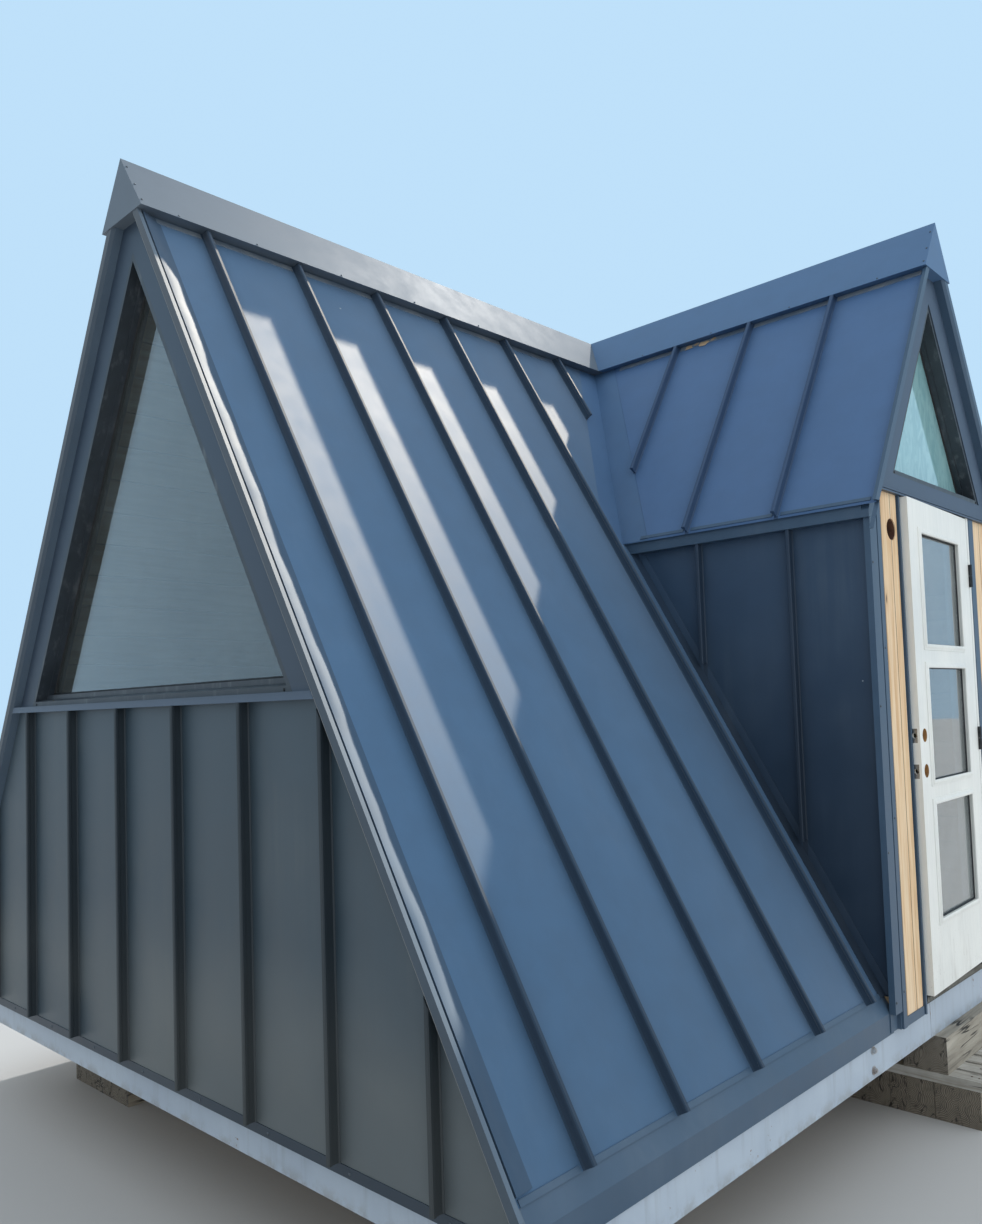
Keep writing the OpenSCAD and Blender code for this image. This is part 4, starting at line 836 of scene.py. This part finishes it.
def makeTrimScrews():
    v = trimScrews
    size = (v["head"], v["head"], 2 * v["proud"])
    spots = []
    out = facing((0, 1, 0), (1, 0, 0))
    for side in (1, -1):
        for y, heights in (v["corner"], v["channel"]):
            for z in heights:
                spots.append((at(house["doorFace"], side * y, z), out, size))
    foot = v["foot"]
    for end in (1, -1):
        turn = facing((1, 0, 0), (0, -end, 0))
        for i in range(foot["count"]):
            x = foot["first"] + i * foot["pitch"]
            spots.append((at(x, -end * foot["face"], foot["z"]), turn, size))
    repeated("trimScrews", "dome", spots, "screwHead", "house")
    v = drainCaps
    size = (v["head"], v["head"], 2 * v["proud"])
    spots = []
    x, y, z = v["gable"]
    for end in (1, -1):
        turn = facing((1, 0, 0), (0, -end, 0))
        for side in (1, -1):
            spots.append((at(side * x, -end * y, z), turn, size))
    y, z = v["dormer"]
    for side in (1, -1):
        spots.append((at(house["doorFace"], side * y, z), out, size))
    repeated("drainCaps", "dome", spots, "gasket", "house")


# steel base: two pairs of bolts and two welds on each side rail
railBolts = {"heights": (0.100, 0.030), "places": (-0.884, 0.884), "face": 1.805,
             "parts": {"railWashers": ("disc", 0.001, (0.032, 0.032, 0.002)),
                       "railNuts": ("hex", 0.006, (0.021, 0.021, 0.010)),
                       "railBoltEnds": ("disc", 0.011, (0.011, 0.011, 0.008))}}
railWelds = {"places": (-0.33, 0.33), "beads": 27, "foot": 0.003, "pitch": 0.0059, "stray": 0.0006,
             "bead": (0.007, 0.0085, 0.0026)}


def makeRailBolts():
    v, w = railBolts, railWelds
    bolts, beads = {key: [] for key in v["parts"]}, []
    rng = random.Random(5)
    for side in (1, -1):
        turn = facing((0, 1, 0), (side, 0, 0))
        for y in v["places"]:
            for z in v["heights"]:
                for key, (shape, out, size) in v["parts"].items():
                    bolts[key].append((at(side * (v["face"] + out), y, z), turn, size))
        for y in w["places"]:
            for i in range(w["beads"]):
                stray = rng.uniform(-w["stray"], w["stray"])
                beads.append((at(side * v["face"], y + stray, w["foot"] + i * w["pitch"]), turn, w["bead"]))
    for key, (shape, out, size) in v["parts"].items():
        repeated(key, shape, bolts[key], "boltZinc", "house")
    repeated("railWelds", "dome", beads, "weldPaint", "house")


# door: moulded frames round the lights, black seals at the glass
doorLights = {"y": (-0.311, 0.173), "feet": (0.466, 1.012, 1.558), "tall": 0.456, "glassOut": 1.826, "glassIn": 1.806,
              "profile": ((-0.003, 0.0005), (-0.003, 0.0060), (0.0005, 0.0088), (0.0045, 0.0094), (0.0085, 0.0086),
                          (0.0120, 0.0064), (0.0150, 0.0040), (0.0178, 0.0034), (0.0205, 0.0030), (0.0215, 0.0002),
                          (0.010, -0.004)),
              "seal": ((0.0002, -0.001), (0.0002, 0.0035), (-0.003, 0.0045), (-0.0062, 0.002), (-0.0066, 0.0),
                       (-0.004, -0.001))}


def lightLoop(foot, away, x):
    v = doorLights
    y0, y1 = v["y"]
    z0, z1 = foot - away, foot + v["tall"] + away
    return [doorSpot(x, y, z) for y, z in ((y0 - away, z0), (y1 + away, z0), (y1 + away, z1), (y0 - away, z1))]


def makeDoorLights():
    v = doorLights
    verts, faces = [], []
    for foot in v["feet"]:
        addRing(verts, faces, [lightLoop(foot, away, house["doorFace"] + h) for away, h in v["profile"]])
    piece = shell("lightMouldings", verts, faces, "doorPaint", "door", 50)
    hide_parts("door_mouldings")
    verts, faces = [], []
    for foot in v["feet"]:
        for x, s in ((v["glassOut"], 1), (v["glassIn"], -1)):
            addRing(verts, faces, [lightLoop(foot, a, x + s * h) for a, h in v["seal"]])
    shell("lightSeals", verts, faces, "gasket", "door")


# raw wood inside the two lock bores, left open towards the bores in the latch edge
lockBores = {"y": -0.379, "heights": (1.197, 1.057), "radius": 0.0268, "wall": 0.0010, "x": (1.796, 1.8372), "open": 50,
             "steps": 40}


def makeBoreLinings():
    v = lockBores
    verts, faces = [], []
    n = v["steps"]
    back, front = v["x"]
    outer, inner = v["radius"], v["radius"] - v["wall"]
    for height in v["heights"]:
        first = len(verts)
        for i in range(n + 1):
            a = math.radians(v["open"] + (360 - 2 * v["open"]) * i / n) + math.pi
            for x, r in ((back, outer), (front, outer), (front, inner), (back, inner)):
                verts.append(doorSpot(x, v["y"] + r * math.cos(a), height + r * math.sin(a)))
        for i in range(n):
            b = first + 4 * i
            for k in range(4):
                m = (k + 1) % 4
                faces.append((b + k, b + m, b + 4 + m, b + 4 + k))
        faces.append((first, first + 1, first + 2, first + 3))
        faces.append((first + 4 * n + 3, first + 4 * n + 2, first + 4 * n + 1, first + 4 * n))
    shell("boreLinings", verts, faces, "boreWood", "door", 40)


# seals between the window frames and their glass
windowSeals = {"inner": 0.135, "dormerInner": 0.147, "sill": 1.426, "dormerSill": 2.231, "beadSide": 0.022,
               "beadUp": 0.046, "gableFace": 2.649, "dormerFace": 1.767, "pane": 0.020,
               "section": ((0.0004, -0.001), (0.0004, 0.004), (-0.0035, 0.005), (-0.0070, 0.0025), (-0.0076, 0.0),
                           (-0.004, -0.001))}


def triangle(k, inner, sill, aside, up):
    # the corners of a window that follows the roof, aside and up from the inner line of its frame
    level = math.hypot(1, k)
    z = sill + up
    half = k * (house["apex"] - z) - (inner + aside) * level
    top = house["apex"] - (inner + aside) * level / k
    return ((-half, z), (half, z), (0.0, top))


def makeWindowSeals():
    v = windowSeals
    verts, faces = [], []
    for end in (1, -1):
        for depth in (0, 1):
            loops = []
            for a, h in v["section"]:
                y = v["gableFace"] + h if depth == 0 else v["gableFace"] - v["pane"] - h
                tri = triangle(house["roofK"], v["inner"], v["sill"], v["beadSide"] - a, v["beadUp"] - a)
                loops.append([at(x, -end * y, z) for x, z in tri])
            addRing(verts, faces, loops)
    for depth in (0, 1):
        loops = []
        for a, h in v["section"]:
            x = v["dormerFace"] + h if depth == 0 else v["dormerFace"] - v["pane"] - h
            tri = triangle(house["dormerK"], v["dormerInner"], v["dormerSill"], v["beadSide"] - a, v["beadUp"] - a)
            loops.append([at(x, y, z) for y, z in tri])
        addRing(verts, faces, loops)
    shell("windowSeals", verts, faces, "gasket", "house")


# the ribbed strip under the door
ribbedStrip = {"y": (-0.441, 0.325), "z": (0.1615, 0.1865), "face": 1.835, "pitch": 0.0165, "rib": 0.0062, "slant": 38,
               "backing": (0.0006, 0.0016), "ribs": (0.0016, 0.0030), "ends": 0.012, "spare": 0.020, "edge": 0.004}


def makeRibbedStrip():
    v = ribbedStrip
    (y0, y1), (z0, z1) = v["y"], v["z"]
    tall, mid = z1 - z0, (z0 + z1) / 2
    out, thick = v["backing"]
    spots = [(at(v["face"] + out, (y0 + y1) / 2, mid), facing((0, 1, 0), (1, 0, 0)), (y1 - y0, tall, thick))]
    repeated("stripBacking", "bar", spots, "stripDark", "house")
    out, thick = v["ribs"]
    slant = math.radians(v["slant"])
    turn = facing((0, math.sin(slant), math.cos(slant)), (1, 0, 0))
    size = ((tall - v["edge"]) / math.cos(slant) - v["rib"] * math.tan(slant), v["rib"], thick)
    spots = []
    for i in range(int((y1 - y0 - v["spare"]) / v["pitch"]) + 1):
        spots.append((at(v["face"] + out, y0 + v["ends"] + i * v["pitch"], mid), turn, size))
    repeated("stripRibs", "bar", spots, "stripPale", "house")


# nails in the packing boards, two at each crossing
boardNails = {"head": 0.0085, "proud": 0.0016, "boards": 6, "row": 0.604, "board": 0.084, "x": (1.925, 1.948),
              "strayX": 0.006, "strayY": 0.022}


def makeBoardNails():
    v = boardNails
    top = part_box("crib_boards")[1][2]
    rng = random.Random(11)
    spots = []
    for side in (1, -1):
        for i in range(v["boards"]):
            y = -v["row"] / 2 + i * (v["row"] - v["board"]) / (v["boards"] - 1) + v["board"] / 2
            for x in v["x"]:
                x = side * (x + rng.uniform(-v["strayX"], v["strayX"]))
                place = Vector((x, y + rng.uniform(-v["strayY"], v["strayY"]), top))
                spots.append((place, Quaternion(), (v["head"], v["head"], 2 * v["proud"])))
    repeated("boardNails", "dome", spots, "nailRust", "house")


# scraps of packing paper left under the edge of the dormer cap
paperScraps = {"places": ((0.706, 3.149, 0.021), (0.750, 3.156, 0.012), (0.796, 3.147, 0.024), (0.846, 3.155, 0.014)),
               "out": 0.0023, "thick": 0.0007, "top": 3.164, "points": 11, "wide": 1.5, "flat": 0.75}


def makePaperScraps():
    v = paperScraps
    rng = random.Random(3)
    verts, faces = [], []
    n = v["points"]
    for x, z, r in v["places"]:
        start = len(verts)
        radii = [r * rng.uniform(0.45, 1.0) for _ in range(n)]
        for out in (v["out"], v["out"] + v["thick"]):
            for i in range(n):
                a = 2 * math.pi * i / n
                up = min(z + radii[i] * math.sin(a) * v["flat"], v["top"])
                verts.append(dormerSpot(x + v["wide"] * radii[i] * math.cos(a), up, out))
        faces.append(tuple(start + i for i in reversed(range(n))))
        faces.append(tuple(start + n + i for i in range(n)))
        for i in range(n):
            j = (i + 1) % n
            faces.append((start + i, start + j, start + n + j, start + n + i))
    shell("paperScraps", verts, faces, "scrapPaper", "house")


# the empty hole for a lamp: a dark worn lining set back in the wall
lampHole = {"y": -0.522, "z": 2.008, "radius": 0.0415, "front": 1.8270, "back": 1.768, "wall": 0.0025}


def makeLampHole():
    v = lampHole
    n = 48
    inner, back = v["radius"] - v["wall"], v["back"]
    profile = ((v["front"], v["radius"]), (v["front"], inner), (back + 0.008, inner - 0.002), (back + 0.004, 0.020),
               (back + 0.0035, 0.0), (back, 0.0), (back, v["radius"]))
    verts, faces = [], []
    for x, r in profile:
        for i in range(n):
            a = 2 * math.pi * i / n
            verts.append(at(x, v["y"] + r * math.cos(a), v["z"] + r * math.sin(a)))
    for k in range(len(profile)):
        m = (k + 1) % len(profile)
        for i in range(n):
            j = (i + 1) % n
            quad = (k * n + i, k * n + j, m * n + j, m * n + i)
            if profile[k][1] == 0.0 and profile[m][1] == 0.0:
                continue
            if profile[m][1] == 0.0:
                quad = quad[:3]
            elif profile[k][1] == 0.0:
                quad = (quad[0], quad[2], quad[3])
            faces.append(quad)
    shell("lampHoleLining", verts, faces, "holeLining", "house", 40)


for make in (makeCapRivets, makeCapClosures, makePanHems, makeRakeCoves, makeTrimScrews, makeRailBolts,
             makeDoorLights, makeBoreLinings, makeWindowSeals, makeRibbedStrip, makeBoardNails, makePaperScraps,
             makeLampHole):
    make()
    print("made", make.__name__[4:])


# a soft sky and sun, a wide fill on the door side, and a glancing lamp for the right slope and the rakes alone, which
# draws the gleams beside the ribs
stageValues = {"floor": (0.52, 0.518, 0.510), "reach": 60.0, "sky": (0.87, 0.94, 1.0), "skyStrength": (0.78, 1.12),
               "seen": (0.52, 0.75, 0.96),
               "sun": {"power": 2.2, "from": (-0.2805, 0.6688, 0.6885), "spread": 2.0, "tone": (1.0, 0.97, 0.93)},
               "fill": {"power": 0.55, "from": (0.88, -0.14, 0.45), "spread": 90.0, "tone": (1.0, 1.0, 1.0)},
               "glance": {"power": 13.5, "from": (-0.2805, 0.6688, 0.6885), "spread": 0.8, "tone": (1.0, 0.89, 0.72)}}


def addSun(name):
    v = stageValues[name]
    sun = bpy.data.lights.new(name, "SUN")
    sun.energy = v["power"]
    sun.angle = math.radians(v["spread"])
    sun.color = v["tone"]
    lamp = bpy.data.objects.new(name, sun)
    lamp.rotation_euler = Vector(v["from"]).to_track_quat("Z", "Y").to_euler()
    bpy.context.scene.collection.objects.link(lamp)
    return lamp


def makeStage():
    v = stageValues
    mesh = bpy.data.meshes.new("floor")
    h = v["reach"]
    mesh.from_pydata([(-h, -h, 0), (h, -h, 0), (h, h, 0), (-h, h, 0)], [], [(0, 1, 2, 3)])
    floor = bpy.data.objects.new("floor", mesh)
    bpy.context.scene.collection.objects.link(floor)
    mat, spot = startMaterial("floor", {"Roughness": 0.9})
    darker = tuple(c * 0.97 for c in v["floor"]) + (1,)
    feed(shaderOf(mat), {"Base Color": mixed(noise(spot, 0.8, 3.0), darker, v["floor"] + (1,))})
    mesh.materials.append(mat)
    world = bpy.data.worlds.new("sky")
    bpy.context.scene.world = world
    world.use_nodes = True
    tree = world.node_tree
    soft = tree.nodes["Background"]
    aim = axes(put("ShaderNodeTexCoord", {}, tree).outputs["Generated"])  # the sky is brighter on the sun's side
    feed(soft, {"Color": v["sky"] + (1,), "Strength": band(aim[1], -0.9, 0.9, *v["skyStrength"])})
    plain = put("ShaderNodeBackground", {"Color": v["seen"] + (1,), "Strength": 1.0}, tree)
    path = put("ShaderNodeLightPath", {}, tree).outputs
    seen = calc("MAXIMUM", path["Is Camera Ray"], path["Is Glossy Ray"])
    seen = calc("MAXIMUM", seen, path["Is Transmission Ray"])
    both = put("ShaderNodeMixShader", {0: seen, 1: soft.outputs[0], 2: plain.outputs[0]})
    feed(tree.nodes["World Output"], {"Surface": both.outputs[0]})
    addSun("sun")
    addSun("fill")
    slope = bpy.data.collections.new("rightSlope")
    for name in ("roof_pans_right", "rake_trims"):
        slope.objects.link(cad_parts[name])
    slope.objects.link(bpy.data.objects["rakeCoves"])
    addSun("glance").light_linking.receiver_collection = slope
    bpy.context.scene.view_settings.view_transform = "Standard"


makeStage()
print("stage made")
